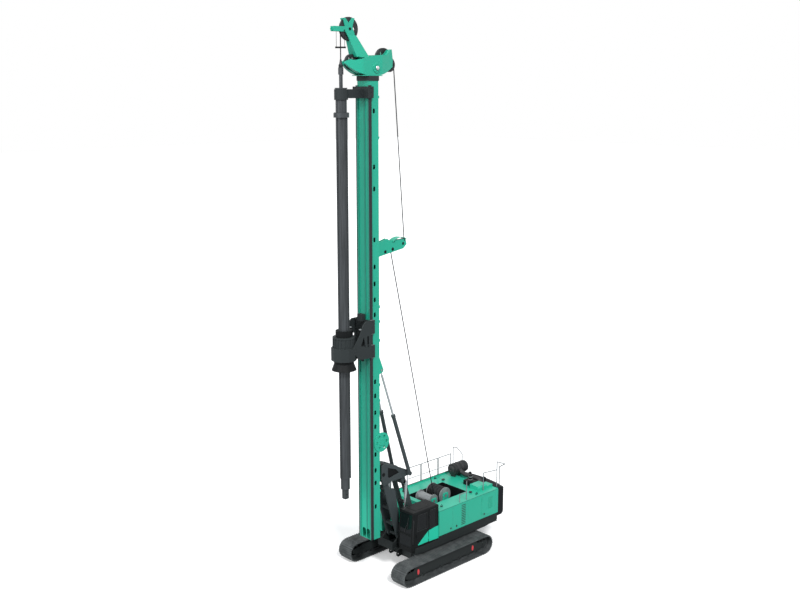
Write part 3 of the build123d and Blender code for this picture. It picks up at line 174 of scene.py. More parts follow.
# %% Lights and world
def add_sun(name, strength, spread, heading, height):
    """A sun of some angular size, placed by its heading about Z and its height, in degrees."""
    data = bpy.data.lights.new(name, "SUN")
    data.energy = strength
    data.angle = math.radians(spread)
    lamp = bpy.data.objects.new(name, data)
    scene.collection.objects.link(lamp)
    lamp.rotation_euler = (math.radians(90 - height), 0.0, math.radians(heading))


add_sun("key_sun", strength=2.3, spread=12.0, heading=158.0, height=45.0)
add_sun("fill_sun", strength=1.7, spread=40.0, heading=95.0, height=28.0)

room_strength = 0.62
world = bpy.data.worlds.new("studio")
scene.world = world
world.use_nodes = True
world_tree = world.node_tree
world_tree.nodes.clear()
# The world is white where it is looked at, and dimmer where it lights the rig.
rays = add_node(world_tree, "ShaderNodeLightPath").outputs
seen = calculate(world_tree, "MAXIMUM", rays["Is Camera Ray"], rays["Is Glossy Ray"])
seen = calculate(world_tree, "MAXIMUM", seen, rays["Is Transmission Ray"])
room_light = add_node(
    world_tree, "ShaderNodeBackground", {"Color": linear("#F4F7FA"), "Strength": room_strength},
)
room_seen = add_node(
    world_tree, "ShaderNodeBackground", {"Color": linear("#FFFFFF"), "Strength": 1.0},
)
room = add_node(
    world_tree, "ShaderNodeMixShader", {0: seen, 1: room_light.outputs[0], 2: room_seen.outputs[0]},
)
add_node(world_tree, "ShaderNodeOutputWorld", {"Surface": room.outputs[0]})
scene.view_settings.view_transform = "Standard"

# %% Floor
smooth_limit = math.radians(35)


def mesh_object(name, corners, faces, material, smooth=False):
    """A mesh object at the origin, from an array of corners and a list of faces."""
    mesh = bpy.data.meshes.new(name)
    mesh.from_pydata(np.asarray(corners, float).tolist(), [], faces)
    mesh.update()
    if smooth:
        mesh.shade_smooth()
        mesh.set_sharp_from_angle(angle=smooth_limit)
    made = bpy.data.objects.new(name, mesh)
    scene.collection.objects.link(made)
    mesh.materials.append(material)
    return made


floor_reach = 300.0
floor_glow = 0.22

floor_paint, floor_tree, floor_shader, _ = start_material("studio floor paint")
# Seen by the camera, the floor is lifted to the white of the room, and keeps the rig's shadow.
# What it throws back on the rig is greyer, as from a concrete floor.
floor_seen = add_node(floor_tree, "ShaderNodeLightPath").outputs["Is Camera Ray"]
feed(floor_tree, floor_shader, {
    "Base Color": mix(floor_tree, floor_seen, "#A6A8AA", "#F7F7F7"),
    "Roughness": 0.95,
    "Specular IOR Level": 0.0,
    "Emission Color": linear("#FFFFFF"),
    "Emission Strength": calculate(floor_tree, "MULTIPLY", floor_seen, floor_glow),
})
floor = mesh_object(
    "floor",
    [(-floor_reach, -floor_reach, 0), (floor_reach, -floor_reach, 0),
     (floor_reach, floor_reach, 0), (-floor_reach, floor_reach, 0)],
    [[0, 1, 2, 3]], floor_paint,
)

# %% [markdown]
# ## The finishes
#
# The rig is welded steel under two-pack enamel: a clear green on the mast, house and head, and a
# satin dark grey on what works and wears. Paint is never quite even, so each recipe has a slow
# drift in tone, a fine orange peel in the bump, dust that settles towards the ground, and a paler
# line along the bevelled edges that is partly wear from rubbing and partly a painted highlight.

# %% Painted steel
# Noise scales are per metre, the rest in metres.
drift_scale = 0.8
blotch_scale = 5.0
peel_scale = 260.0
peel_depth = 0.001
edge_bevel_width = 0.012
edge_highlight_range = (0.97, 0.8)
edge_highlight_share = 0.55


def painted_steel(
    name, tone, drift_tone, dust_tone, edge_wear_highlight_tone, roughness, gloss, dust_height=2.5, dust_share=0.15,
):
    """Enamel on welded steel: drift, dust that fades with height, edges paled by wear and painted
    highlight, and orange peel.
    """
    material, tree, shader, place = start_material(name)
    coat = mix(tree, noise(tree, place, drift_scale, 3.0), tone, drift_tone)

    height = add_node(tree, "ShaderNodeSeparateXYZ", {0: place}).outputs[2]
    low_down = ramp(tree, height, 0.0, dust_height, 1.0, 0.0)
    blotch = noise(tree, place, blotch_scale, 6.0)
    patch = calculate(tree, "MULTIPLY", low_down, blotch)
    dusted = mix(tree, calculate(tree, "MULTIPLY", patch, dust_share), coat, dust_tone)

    # Within a bevel's width of an edge, the rounded normal leaves the flat one.
    rounded = add_node(tree, "ShaderNodeBevel", {"Radius": edge_bevel_width}, samples=4).outputs[0]
    flat = add_node(tree, "ShaderNodeNewGeometry").outputs["Normal"]
    meet = add_node(tree, "ShaderNodeVectorMath", {0: rounded, 1: flat}, operation="DOT_PRODUCT")
    # Painted highlight, partly wear: near an edge the paint turns in patches to the paler edge tone.
    edge = ramp(tree, meet.outputs["Value"], *edge_highlight_range, 0.0, edge_highlight_share)
    worn = calculate(tree, "MULTIPLY", edge, blotch)

    peel = noise(tree, place, peel_scale, 2.0)
    feed(tree, shader, {
        "Base Color": mix(tree, worn, dusted, edge_wear_highlight_tone),
        "Roughness": ramp(tree, blotch, 0.0, 1.0, roughness - 0.06, roughness + 0.1),
        "Specular IOR Level": gloss,
        "Normal": bumped(tree, peel, 0.05, peel_depth, Normal=rounded),
    })
    return material


# Clear green with a soft gloss: reads as the machine's own sprayed coat.
green_enamel = painted_steel(
    "green two-pack enamel", "#20A88A", "#27B194", "#7F9187", "#79C6B2", roughness=0.34, gloss=0.4,
    dust_height=3.5, dust_share=0.16,
)
# Neutral dark grey with a satin sheen: the carriage and the drive read as heavy working parts.
dark_enamel = painted_steel(
    "dark grey satin enamel", "#24292A", "#2E3435", "#5C5A53", "#565C5E", roughness=0.5, gloss=0.25,
    dust_share=0.2,
)
# Nearly black and dull: brackets, steps and hatches fall back behind the green.
black_enamel = painted_steel(
    "black satin enamel", "#0D0F10", "#131617", "#46443F", "#3C4144", roughness=0.5, gloss=0.15,
    dust_share=0.1,
)
# Blue-black and dry: the counterweight reads as one solid mass.
weight_enamel = painted_steel(
    "counterweight enamel", "#14171A", "#1B1E21", "#55565A", "#50555A", roughness=0.55, gloss=0.1,
    dust_height=3.0, dust_share=0.08,
)
# A paler grey: the boom and the mast's support stand out against the black frame below them.
boom_enamel = painted_steel(
    "boom grey enamel", "#343B3D", "#3D4547", "#66645D", "#6A7173", roughness=0.5, gloss=0.3,
)
# Between the dark grey and the black, with dust: the frame and the tracks' side frames.
frame_enamel = painted_steel(
    "frame black enamel", "#181D1E", "#212728", "#55534D", "#50575A", roughness=0.5, gloss=0.2,
)
# Mid grey with edges paled by a painted highlight: thin guard rails still show against the pale room.
rail_enamel = painted_steel(
    "galvanised rail enamel", "#6C7275", "#7A8083", "#8A8881", "#C9CDCF", roughness=0.4, gloss=0.4,
    dust_height=3.0,
)
# Red on the lifting points, the one warm colour on the rig.
marker_enamel = painted_steel(
    "red marker enamel", "#C8323A", "#D2414A", "#8A6F66", "#D9767A", roughness=0.35, gloss=0.4,
    dust_height=2.0,
)
print("painted finishes made")

# %% [markdown]
# ## Steel, chrome, glass, cloth and rubber
#
# Piston rods are hard chromed and ground, so they are the only mirror on the rig. The drill bar and
# the track shoes are bare rolled steel that rusts a little and is rubbed clean again, which leaves
# a dull, patchy sheen. Drums and sheaves are cast, the cab glass is tinted, and the seals are black
# rubber with a faint bloom.

# %% Bare metals
def bare_steel(name, tone, worn_tone, metallic, roughness, grain=(1.0, 1.0, 1.0)):
    """Rolled or cast steel: patches between two tones, and a roughness that follows them."""
    material, tree, shader, place = start_material(name)
    stretched = add_node(tree, "ShaderNodeMapping", {"Vector": place, "Scale": grain}).outputs[0]
    patches = noise(tree, stretched, 3.0, 7.0)
    fine = noise(tree, place, 90.0, 4.0)
    feed(tree, shader, {
        "Base Color": mix(tree, ramp(tree, patches, 0.35, 0.7), tone, worn_tone),
        "Roughness": ramp(tree, patches, 0.0, 1.0, roughness + 0.12, roughness - 0.08),
        "Metallic": metallic,
        "Normal": bumped(tree, fine, 0.2, 0.002),
    })
    return material


# Grey shoes, paler where lugs rub on the ground: reads as heavy, worn steel.
shoe_steel = bare_steel("worn track steel", "#3E4243", "#585C5D", metallic=0.3, roughness=0.55)
# Long streaks along the bar, from sliding in its guides: reads as a dark sliding shaft.
bar_steel = bare_steel(
    "drill bar steel", "#36393B", "#4C5053", metallic=0.4, roughness=0.45, grain=(6.0, 6.0, 0.25),
)
# Light grey casting: reads as a machined winch drum.
drum_steel = bare_steel(
    "winch drum steel", "#83878A", "#9DA1A3", metallic=0.5, roughness=0.4, grain=(1.0, 0.3, 1.0),
)
# Dark rim and web with a rope-polished groove: reads as a greased sheave.
sheave_steel = bare_steel("greased sheave steel", "#26292B", "#3A3E41", metallic=0.4, roughness=0.45)

# Near white and sharp, with a little haze of oil: reads as a ground piston rod.
chrome, chrome_tree, chrome_shader, chrome_place = start_material("hard chrome")
oil = noise(chrome_tree, chrome_place, 6.0, 4.0)
feed(chrome_tree, chrome_shader, {
    "Base Color": linear("#E6E8EA"),
    "Metallic": 1.0,
    "Roughness": ramp(chrome_tree, oil, 0.0, 1.0, 0.06, 0.18),
})

# %% Glass, rubber, plastic, cloth and rope
# Dark grey tint with a clean gloss: the cab reads as shaded inside.
glass, glass_tree, glass_shader, glass_place = start_material("tinted safety glass")
film = noise(glass_tree, glass_place, 4.0, 5.0)
feed(glass_tree, glass_shader, {
    "Base Color": linear("#14181A"),
    "Transmission Weight": 0.25,
    "Specular IOR Level": 0.2,
    "Roughness": ramp(glass_tree, film, 0.0, 1.0, 0.02, 0.09),
})


def soft_black(name, tone, bloom_tone, roughness, scale, strength):
    """Rubber, plastic or cloth: two close tones and a fine grain."""
    material, tree, shader, place = start_material(name)
    grain = noise(tree, place, scale, 4.0)
    feed(tree, shader, {
        "Base Color": mix(tree, grain, tone, bloom_tone),
        "Roughness": roughness,
        "Normal": bumped(tree, grain, strength, 0.001),
    })
    return material


# Matt with a grey bloom: reads as seals and strips.
rubber = soft_black("hose rubber", "#141516", "#222425", roughness=0.6, scale=60.0, strength=0.3)
# Slight sheen and leather grain: reads as moulded plastic.
plastic = soft_black(
    "moulded black plastic", "#1B1C1D", "#26282A", roughness=0.5, scale=400.0, strength=0.15,
)
# No sheen and a coarse weave: reads as seat cloth.
cloth = soft_black("seat cloth", "#1D1F22", "#2B2E33", roughness=0.9, scale=900.0, strength=0.6)

# Dark strands that come round every 180 mm: reads as steel rope, not as a black line.
wire, wire_tree, wire_shader, wire_place = start_material("greased wire rope")
lay = add_node(
    wire_tree, "ShaderNodeTexWave", {"Vector": wire_place, "Scale": 3.5, "Distortion": 0.0},
    bands_direction="DIAGONAL",
)
feed(wire_tree, wire_shader, {
    "Base Color": mix(wire_tree, lay.outputs["Fac"], "#131415", "#2A2C2E"),
    "Metallic": 0.2,
    "Roughness": 0.6,
    "Specular IOR Level": 0.25,
})
print("metals, glass, rubber, cloth and rope made")

# %% [markdown]
# ## Two colours on one piece
#
# The cab is black, with a green cover that sweeps down its side. The winch bay in the green house
# is painted near black inside, as painted shade. The mast's guide rails are dark only where the
# carriage grips them. On the real rig one part is masked off along an edge and sprayed again, so
# here one enamel turns into the other where the Object coordinates say so.

# %% Masked paint
def parts_of(material):
    """A material's tree, its shader and the x, y and z of its Object coordinates."""
    tree = material.node_tree
    shader = next(node for node in tree.nodes if node.type == "BSDF_PRINCIPLED")
    place = next(node for node in tree.nodes if node.type == "TEX_COORD").outputs["Object"]
    return tree, shader, add_node(tree, "ShaderNodeSeparateXYZ", {0: place}).outputs


def where_all(tree, *tests):
    """One where every test holds, else nought: each compares a value with a limit."""
    mask = 1.0
    for value, operation, limit in tests:
        mask = calculate(tree, "MULTIPLY", mask, calculate(tree, operation, value, limit))
    return mask


def paint_over(tree, shader, mask, tone):
    """Lays a second colour over the first where the mask is one."""
    first = shader.inputs["Base Color"].links[0].from_socket
    feed(tree, shader, {"Base Color": mix(tree, mask, first, tone)})


# The cover's top edge is level at first and then falls towards the front as cover_slope x + cover_lift.
cab_face = 1.4505
cover_top = 1.905
cover_slope = -0.737
cover_lift = 2.375

cab_enamel = painted_steel(
    "black and green cab enamel", "#0D0F10", "#131617", "#46443F", "#3C4144", roughness=0.5, gloss=0.15,
    dust_share=0.08,
)
tree, shader, (x_at, y_at, z_at) = parts_of(cab_enamel)
slant = calculate(tree, "MULTIPLY_ADD", x_at, cover_slope, cover_lift)
edge_line = calculate(tree, "MINIMUM", slant, cover_top)
covered = where_all(tree, (y_at, "GREATER_THAN", cab_face), (z_at, "LESS_THAN", edge_line))
paint_over(tree, shader, covered, "#25BC9C")

# The bay is a box, open at the rim. Inside it the green is painted over near black, as painted shade.
bay_low = (-2.425, -0.765)
bay_high = (-0.175, 0.765)
bay_rim = 2.58

house_enamel = green_enamel.copy()
house_enamel.name = "green enamel with painted shade in the winch bay"
tree, shader, (x_at, y_at, z_at) = parts_of(house_enamel)
inside = where_all(
    tree, (z_at, "LESS_THAN", bay_rim),
    (x_at, "GREATER_THAN", bay_low[0]), (x_at, "LESS_THAN", bay_high[0]),
    (y_at, "GREATER_THAN", bay_low[1]), (y_at, "LESS_THAN", bay_high[1]),
)
paint_over(tree, shader, inside, "#131617")

# The rails are green between their gripped edges and below the head's collar.
rail_inner = 0.3465
collar_low = 20.6

guide_enamel = painted_steel(
    "dark and green guide rail enamel", "#24282A", "#2C3133", "#5C5A53", "#565C5E", roughness=0.45,
    gloss=0.3, dust_share=0.1,
)
tree, shader, (x_at, y_at, z_at) = parts_of(guide_enamel)
off_centre = calculate(tree, "ABSOLUTE", y_at)
green_part = where_all(tree, (off_centre, "LESS_THAN", rail_inner), (z_at, "LESS_THAN", collar_low))
paint_over(tree, shader, green_part, "#2F8F7B")
print("masked paints made")

# %% [markdown]
# ## Which piece gets which finish
#
# The construction model gives each piece a material slot, the way a paint plan would. A few pieces
# are painted apart from the rest of their slot, and every sheave is bare greased steel.

# %% Assign the finishes
slot_finish = {
    "green_paint": green_enamel,
    "dark_paint": dark_enamel,
    "black_paint": black_enamel,
    "weight_paint": weight_enamel,
    "rail_paint": rail_enamel,
    "track_steel": shoe_steel,
    "chrome_rod": chrome,
    "kelly_steel": bar_steel,
    "drum_steel": drum_steel,
    "glass": glass,
    "seat_cloth": cloth,
    "black_plastic": plastic,
}
painted_apart = [
    (cab_enamel, ["cab_shell", "cab_door"]),
    (guide_enamel, ["mast_rails"]),
    (house_enamel, ["machine_house"]),
    (green_enamel, ["crowd_winch_drum"]),
    (frame_enamel, ["upper_frame", "track_frame_left", "track_frame_right"]),
    (boom_enamel, ["boom_arm", "rear_link", "mast_support", "backstay_tube_left", "backstay_tube_right"]),
]
node_finish = {node: finish for finish, nodes in painted_apart for node in nodes}
slot_of_node = {row["node"]: row["material_slot"] for row in frame["record"]["subparts"]}
for node_name, node_object in frame["nodes"].items():
    finish = node_finish.get(node_name, slot_finish[slot_of_node[node_name]])
    if "sheave" in node_name:
        finish = sheave_steel
    for material_slot in node_object.material_slots:
        material_slot.link = "OBJECT"
        material_slot.material = finish
print("finished nodes:", len(frame["nodes"]))

# %% [markdown]
# ## Shapes for what is added
#
# Ropes, rods and ducts are tubes along a line, and bolts and caps are turned solids. Both are rings
# of corners joined by quads and closed by two caps, so one function builds them all. Many small
# like pieces are joined into one mesh.

# %% Ring-built solids
upward = (0, 0, 1)
forward = (1, 0, 0)


def axes_across(direction):
    """Two unit vectors square to a direction and to each other."""
    direction = np.asarray(direction, float) / np.linalg.norm(direction)
    side = np.cross(np.eye(3)[np.argmin(np.abs(direction))], direction)
    side /= np.linalg.norm(side)
    return side, np.cross(direction, side)


def solid_of_rings(rings):
    """Corners and outward faces of a solid through rings that run anticlockwise about its line."""
    rings = np.asarray(rings, float)
    count, sides = rings.shape[:2]
    step = np.arange(sides)
    turn = (step + 1) % sides
    base = (np.arange(count - 1) * sides)[:, None]
    quads = np.stack([base + step, base + turn, base + sides + turn, base + sides + step], axis=-1)
    faces = quads.reshape(-1, 4).tolist()
    faces.append(step[::-1].tolist())
    faces.append((step + (count - 1) * sides).tolist())
    return rings.reshape(-1, 3), faces


def tube(path, radius, sides=12):
    """Point (t, k) is path[k] + radius (cos t * side + sin t * up), its plane turned least each step."""
    path = np.asarray(path, float)
    steps = np.diff(path, axis=0)
    steps /= np.linalg.norm(steps, axis=1, keepdims=True)
    lines = np.vstack([steps[:1], steps[:-1] + steps[1:], steps[-1:]])
    lines /= np.linalg.norm(lines, axis=1, keepdims=True)
    angles = np.linspace(0, 2 * np.pi, sides, endpoint=False)
    side = axes_across(lines[0])[0]
    rings = []
    for place, line in zip(path, lines):
        side = side - line * np.dot(side, line)
        side /= np.linalg.norm(side)
        up = np.cross(line, side)
        rings.append(place + radius * (np.outer(np.cos(angles), side) + np.outer(np.sin(angles), up)))
    return solid_of_rings(rings)


def turned(profile, foot, axis, sides=24):
    """Point (t, r, h) is foot + h axis + r (cos t * side + sin t * up), for the profile's r and h."""
    axis = np.asarray(axis, float) / np.linalg.norm(axis)
    side, up = axes_across(axis)
    angles = np.linspace(0, 2 * np.pi, sides, endpoint=False)
    round_it = np.outer(np.cos(angles), side) + np.outer(np.sin(angles), up)
    return solid_of_rings([np.asarray(foot, float) + h * axis + r * round_it for r, h in profile])


def prism(plan, low, high):
    """An upright solid with one plan, points of x and y, from a low to a high level."""
    return solid_of_rings([[(x, y, z) for x, y in plan] for z in (low, high)])


def slab(low, high):
    """A box from its low to its high corner."""
    (x0, y0, z0), (x1, y1, z1) = low, high
    return prism([(x0, y0), (x1, y0), (x1, y1), (x0, y1)], z0, z1)


def joined(shapes):
    """Several solids put into one list of corners and faces."""
    corners, faces, start = [], [], 0
    for shape_corners, shape_faces in shapes:
        corners.append(shape_corners)
        faces += [[start + index for index in face] for face in shape_faces]
        start += len(shape_corners)
    return np.vstack(corners), faces


def add_piece(name, shapes, material, body, smooth=True):
    """A named piece of one or more solids that moves with a body."""
    made = mesh_object(name, *joined(shapes), material, smooth)
    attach(made, body)
    print(name, "faces:", len(made.data.polygons))


def bolt_heads(places, axis, radius, height):
    """Hexagon heads with a chamfered top, one at each place."""
    head = [(radius, 0.0), (radius, 0.8 * height), (0.85 * radius, height)]
    return [turned(head, place, axis, sides=6) for place in places]


def ring_of(centre, axis, radius, count):
    """Places spread evenly on a circle about an axis."""
    side, up = axes_across(axis)
    angles = np.arange(count) * 2 * np.pi / count
    circle = np.outer(np.cos(angles), side) + np.outer(np.sin(angles), up)
    return np.asarray(centre, float) + radius * circle


# %% [markdown]
# ## Hoist ropes
#
# The main rope leaves the winch on the deck, climbs to the bracket half way up the mast, turns
# under its sheave and runs up to the head. There it passes inside the head and the jib to the top
# sheave, and hangs from it to the swivel on the drill bar. Real ropes are laid from steel strands
# and pulled tight by the load, so straight tubes between the sheaves are true to them.

# %% Rope path
# Each wheel is the x and z of a sheave's pin, and each rope radius runs to the middle of the rope.
rope_radius = 0.021
bracket_wheel = np.array([0.91, 14.11])
bracket_rope = 0.15
guide_wheel = np.array([1.47, 13.95])
guide_rope = 0.085
lower_wheel = np.array([1.655, 21.27])
lower_rope = 0.24
lower_plane = 0.06
head_run = [(2.3, lower_plane, 21.46), (2.9, 0.0, 21.44)]
jib_wheel = np.array([3.69, 22.56])
jib_rope = 0.4
head_pin = (2.56, 21.13)
drill_x = float(jib_wheel[0] + jib_rope)
hang_level = jib_wheel[1] - 0.1
swivel_top = 21.45


def arc(wheel, radius, start, end, plane, count=14):
    """Point t is wheel + radius (cos t, sin t), from one angle in degrees to another."""
    angles = np.radians(np.linspace(start, end, count))
    x = wheel[0] + radius * np.cos(angles)
    z = wheel[1] + radius * np.sin(angles)
    return np.stack([x, np.full(count, plane), z], axis=1)


up_rope = np.vstack([
    arc(guide_wheel, guide_rope, start=-14, end=97, plane=0.0),
    arc(bracket_wheel, bracket_rope, start=-82, end=-185, plane=0.0),
    arc(lower_wheel, lower_rope, start=175, end=60, plane=lower_plane),
    head_run,
])
over_rope = np.vstack([
    arc(jib_wheel, jib_rope, start=235, end=0, plane=0.0, count=26),
    [(drill_x, 0.0, hang_level)],
])
add_piece("hoist_rope_mast", [tube(up_rope, rope_radius)], wire, "mast_body")
add_piece("hoist_rope_jib", [tube(over_rope, rope_radius)], wire, "mast_body")

guide_profile = [
    (0.03, -0.05), (0.075, -0.05), (0.1, -0.03), (0.1, -0.022), (0.069, -0.008), (0.069, 0.008),
    (0.1, 0.022), (0.1, 0.03), (0.075, 0.05), (0.03, 0.05),
]
guide_roller = turned(guide_profile, (guide_wheel[0], 0.0, guide_wheel[1]), (0, 1, 0), sides=32)
add_piece("bracket_guide_roller", [guide_roller], sheave_steel, "mast_body")

# %% [markdown]
# ## Guard of the rope bracket, and painted shade in its lightening holes
#
# A curved strip stands over the bracket's sheave on four short feet, so that a slack rope can't
# jump off it. It would be rolled from flat bar, so it is an arc with a rectangle for its section.
# The bracket's cheek plates are cut out to save weight. A thin black disc with a chamfered rim
# stands in each of those holes as painted shade, to give it depth.

# %% Rope guard, and painted shade in the bracket's holes
guard_centre = np.array([1.1, 13.72])
guard_radii = (0.66, 0.675)
guard_half = 0.15
guard_rings = []
for angle in np.radians(np.linspace(122, 52, 12)):
    lean = np.array([np.cos(angle), np.sin(angle)])
    (inner_x, inner_z), (outer_x, outer_z) = (guard_centre + radius * lean for radius in guard_radii)
    guard_rings.append([
        (inner_x, -guard_half, inner_z), (inner_x, guard_half, inner_z),
        (outer_x, guard_half, outer_z), (outer_x, -guard_half, outer_z),
    ])
foot_long, foot_thick = 0.02, 0.008
foot_low, foot_high = 14.2, 14.315
guard_feet = [
    slab((x - foot_long, y - foot_thick, foot_low), (x + foot_long, y + foot_thick, foot_high))
    for x in (0.82, 1.4) for y in (-0.077, 0.077)
]
guard_parts = [solid_of_rings(guard_rings)] + guard_feet
add_piece("bracket_rope_guard", guard_parts, green_enamel, "mast_body")

cheek_face = 0.0845
# Painted shade: a thin black disc on each cheek where a lightening hole is.
hole_shade_disc = [(0.07, 0.0), (0.07, 0.002), (0.062, 0.003)]
hole_places = [(1.9, 13.86), (1.49, 13.93)]
holes = [
    turned(hole_shade_disc, (x, side * cheek_face, z), (0, side, 0), sides=20)
    for side in (-1, 1) for x, z in hole_places
]
add_piece("bracket_hole_shade_discs", holes, black_enamel, "mast_body")

# %% [markdown]
# ## Ropes that cross a joint
#
# Three lengths of rope hang between two bodies that move apart. Each is a straight tube of two
# rings between its two ends, and is not attached to either body. The drum carries one layer of
# rope, wound as a helix.

# %% Rope to the winch and to the swivel
drum_centre = np.array([-1.37, 2.56])
drum_radius = 0.3
coil_radius = drum_radius + rope_radius
drum_turns = 18
drum_pitch = 0.043
corners_a_turn = 24
rope_lean = math.radians(14)


def add_rope(name, line, radius):
    """A straight rope between two points."""
    made = mesh_object(name, *tube(line, radius), wire, smooth=True)
    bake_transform(made)
    print(name, "length:", round(math.dist(*line), 3))


lean_x, lean_z = math.cos(rope_lean), math.sin(rope_lean)
down_line = [
    (guide_wheel[0] + guide_rope * lean_x, 0.0, guide_wheel[1] - guide_rope * lean_z),
    (drum_centre[0] + coil_radius * lean_x, 0.0, drum_centre[1] + coil_radius * lean_z),
]
add_rope("hoist_rope_deck", down_line, rope_radius)

turn_angles = np.linspace(0, drum_turns * 2 * np.pi, drum_turns * corners_a_turn)
coil = np.stack([
    drum_centre[0] + coil_radius * np.cos(turn_angles),
    -drum_turns * drum_pitch / 2 + drum_pitch * turn_angles / (2 * np.pi),
    drum_centre[1] + coil_radius * np.sin(turn_angles),
], axis=1)
add_piece("hoist_rope_coil", [tube(coil, rope_radius, sides=8)], wire, "main_winch")

hang_line = [(drill_x, 0.0, hang_level), (drill_x, 0.0, swivel_top)]
add_rope("hoist_rope_swivel", hang_line, rope_radius)

# The last hand's breadth pays out inside the outer bar when the inner bar slides down. It is a
# little thinner, so that it lies inside the rope above it where they overlap.
inner_radius = 0.85 * rope_radius
inner_line = [(drill_x, 0.0, swivel_top + 0.02), (drill_x, 0.0, swivel_top - 0.03)]
add_rope("hoist_rope_inner", inner_line, inner_radius)

# %% [markdown]
# ## Swivel and rope limit weight
#
# The rope ends in a wedge socket on a swivel, so that the turning drill bar doesn't twist it. Above
# it, a small weight rides on the rope and hangs on two rods from the jib: when the swivel lifts it,
# the winch stops.

# %% Swivel
swivel_low = 21.13
swivel_profile = [
    (0.075, 0.0), (0.084, 0.015), (0.084, 0.1), (0.06, 0.13), (0.045, 0.2), (0.03, 0.3), (0.022, 0.325),
]
add_piece(
    "swivel_socket", [turned(swivel_profile, (drill_x, 0.0, swivel_low), upward)], sheave_steel,
    "kelly_bar",
)

# %% Rope limit weight
limit_low = 21.87
limit_high = 22.47
limit_rods = np.array([(3.97, 0.1), (4.21, -0.1)])
rod_radius = 0.008
rod_nut = [(0.02, 0), (0.02, 0.05)]
weight_overhang = 0.15
weight_half = 0.03
weight_inner = rope_radius + 0.004
weight_outer = rope_radius + 0.034
limit_parts = [
    tube([(x, y, limit_low), (x, y, limit_high)], rod_radius, sides=8) for x, y in limit_rods
]
limit_parts += [turned(rod_nut, (x, y, limit_high), upward, sides=12) for x, y in limit_rods]
weight_run = limit_rods[1] - limit_rods[0]
weight_side = np.array([-weight_run[1], weight_run[0]]) / np.linalg.norm(weight_run)
near_end = limit_rods[0] - weight_overhang * weight_run
far_end = limit_rods[1] + weight_overhang * weight_run
for half in (-1, 1):
    inner_edge = half * weight_inner * weight_side
    outer_edge = half * weight_outer * weight_side
    plan = [near_end + inner_edge, far_end + inner_edge, far_end + outer_edge, near_end + outer_edge]
    limit_parts.append(prism(plan[::half], limit_low - weight_half, limit_low + weight_half))
add_piece("rope_limit_weight", limit_parts, black_enamel, "mast_body", smooth=False)

# %% [markdown]
# ## Bolts, pins and covers
#
# A rig of this size is bolted together in rings: the head on its boss, the gearbox on its rim, the
# drill bar on its flange. A hexagon head is only a short prism with a chamfer, so it costs almost
# nothing and gives the eye a sense of scale.

# %% Bolts
frame_face = 1.924


def ring_bolts(name, body, centre, axis, material, ring, count, size):
    """A ring of bolt heads on a flat face: the ring's radius, their number and each head's radius."""
    heads = bolt_heads(ring_of(centre, axis, ring, count), axis, size, 0.7 * size)
    add_piece(name, heads, material, body, smooth=False)


ring_bolts(
    "kelly_flange_bolts", "kelly_tube", (drill_x, 0, 19.44), upward, bar_steel,
    ring=0.262, count=12, size=0.026,
)
ring_bolts(
    "drive_collar_bolts", "drive", (drill_x, 0, 10.94), upward, dark_enamel,
    ring=0.29, count=16, size=0.022,
)
ring_bolts(
    "gear_rim_bolts", "carriage_body", (drill_x, 0, 10.68), upward, dark_enamel,
    ring=0.395, count=24, size=0.026,
)
for side_name, side in both_sides:
    ring_bolts(
        f"head_boss_bolts_{side_name}", "mast_body", (head_pin[0], side * 0.36, head_pin[1]), (0, side, 0),
        green_enamel, ring=0.14, count=10, size=0.022,
    )
    ring_bolts(
        f"crowd_hub_bolts_{side_name}", "mast_body", (2.4, side * 0.393, 5.95), (0, side, 0),
        green_enamel, ring=0.115, count=8, size=0.018,
    )
    ring_bolts(
        f"final_drive_bolts_{side_name}", f"track_unit_{side_name}", (-2.34, side * frame_face, 0.44),
        (0, side, 0), dark_enamel, ring=0.125, count=12, size=0.016,
    )

# %% Pin caps
large_cap = [(0.08, -0.002), (0.08, 0.012), (0.068, 0.022), (0.03, 0.026), (0.012, 0.026)]
head_caps = [
    turned(large_cap, (head_pin[0], side * 0.39, head_pin[1]), (0, side, 0)) for side in (-1, 1)
]
add_piece("head_boss_caps", head_caps, chrome, "mast_body")

# Each pin is given by its x and z and by how far its ends stand from the middle plane.
small_cap = [(0.055, -0.002), (0.055, 0.014), (0.045, 0.02), (0.01, 0.022)]
sheave_pins = [
    (*jib_wheel, 0.085), (3.6, 21.34, 0.135), (*lower_wheel, 0.146), (1.87, 21.49, 0.146),
    (*bracket_wheel, 0.085),
]
pin_caps = [
    turned(small_cap, (x, side * reach, z), (0, side, 0), sides=16)
    for x, z, reach in sheave_pins for side in (-1, 1)
]
add_piece("sheave_pin_caps", pin_caps, black_enamel, "mast_body")

# %% [markdown]
# ## Carriage fittings
#
# The carriage slides on the mast's rails on wear pads, which show as pale strips above and below
# each clamp. They are flat bars that are bolted on and changed when thin. The drive's two motors
# wear a bright turned cap.

# %% Wear pads and motor caps
pad_thick = 0.012
pad_half = 0.024
pad_middle = 0.43
pad_front, pad_rear = 3.04, 2.86
clamp_levels = [(9.69, 10.21), (10.68, 11.24)]
pads = []
for side in (-1, 1):
    y = side * pad_middle
    for clamp_low, clamp_high in clamp_levels:
        for low, high in ((clamp_low - pad_thick, clamp_low), (clamp_high, clamp_high + pad_thick)):
            pads.append(slab((pad_rear, y - pad_half, low), (pad_front, y + pad_half, high)))
add_piece("carriage_wear_pads", pads, drum_steel, "carriage_body", smooth=False)

motor_cap = [(0.07, -0.002), (0.07, 0.02), (0.055, 0.034), (0.02, 0.04)]
motor_caps = [turned(motor_cap, (3.47, y, 10.9), upward, sides=20) for y in (-0.31, 0.31)]
add_piece("motor_caps", motor_caps, drum_steel, "carriage_body")

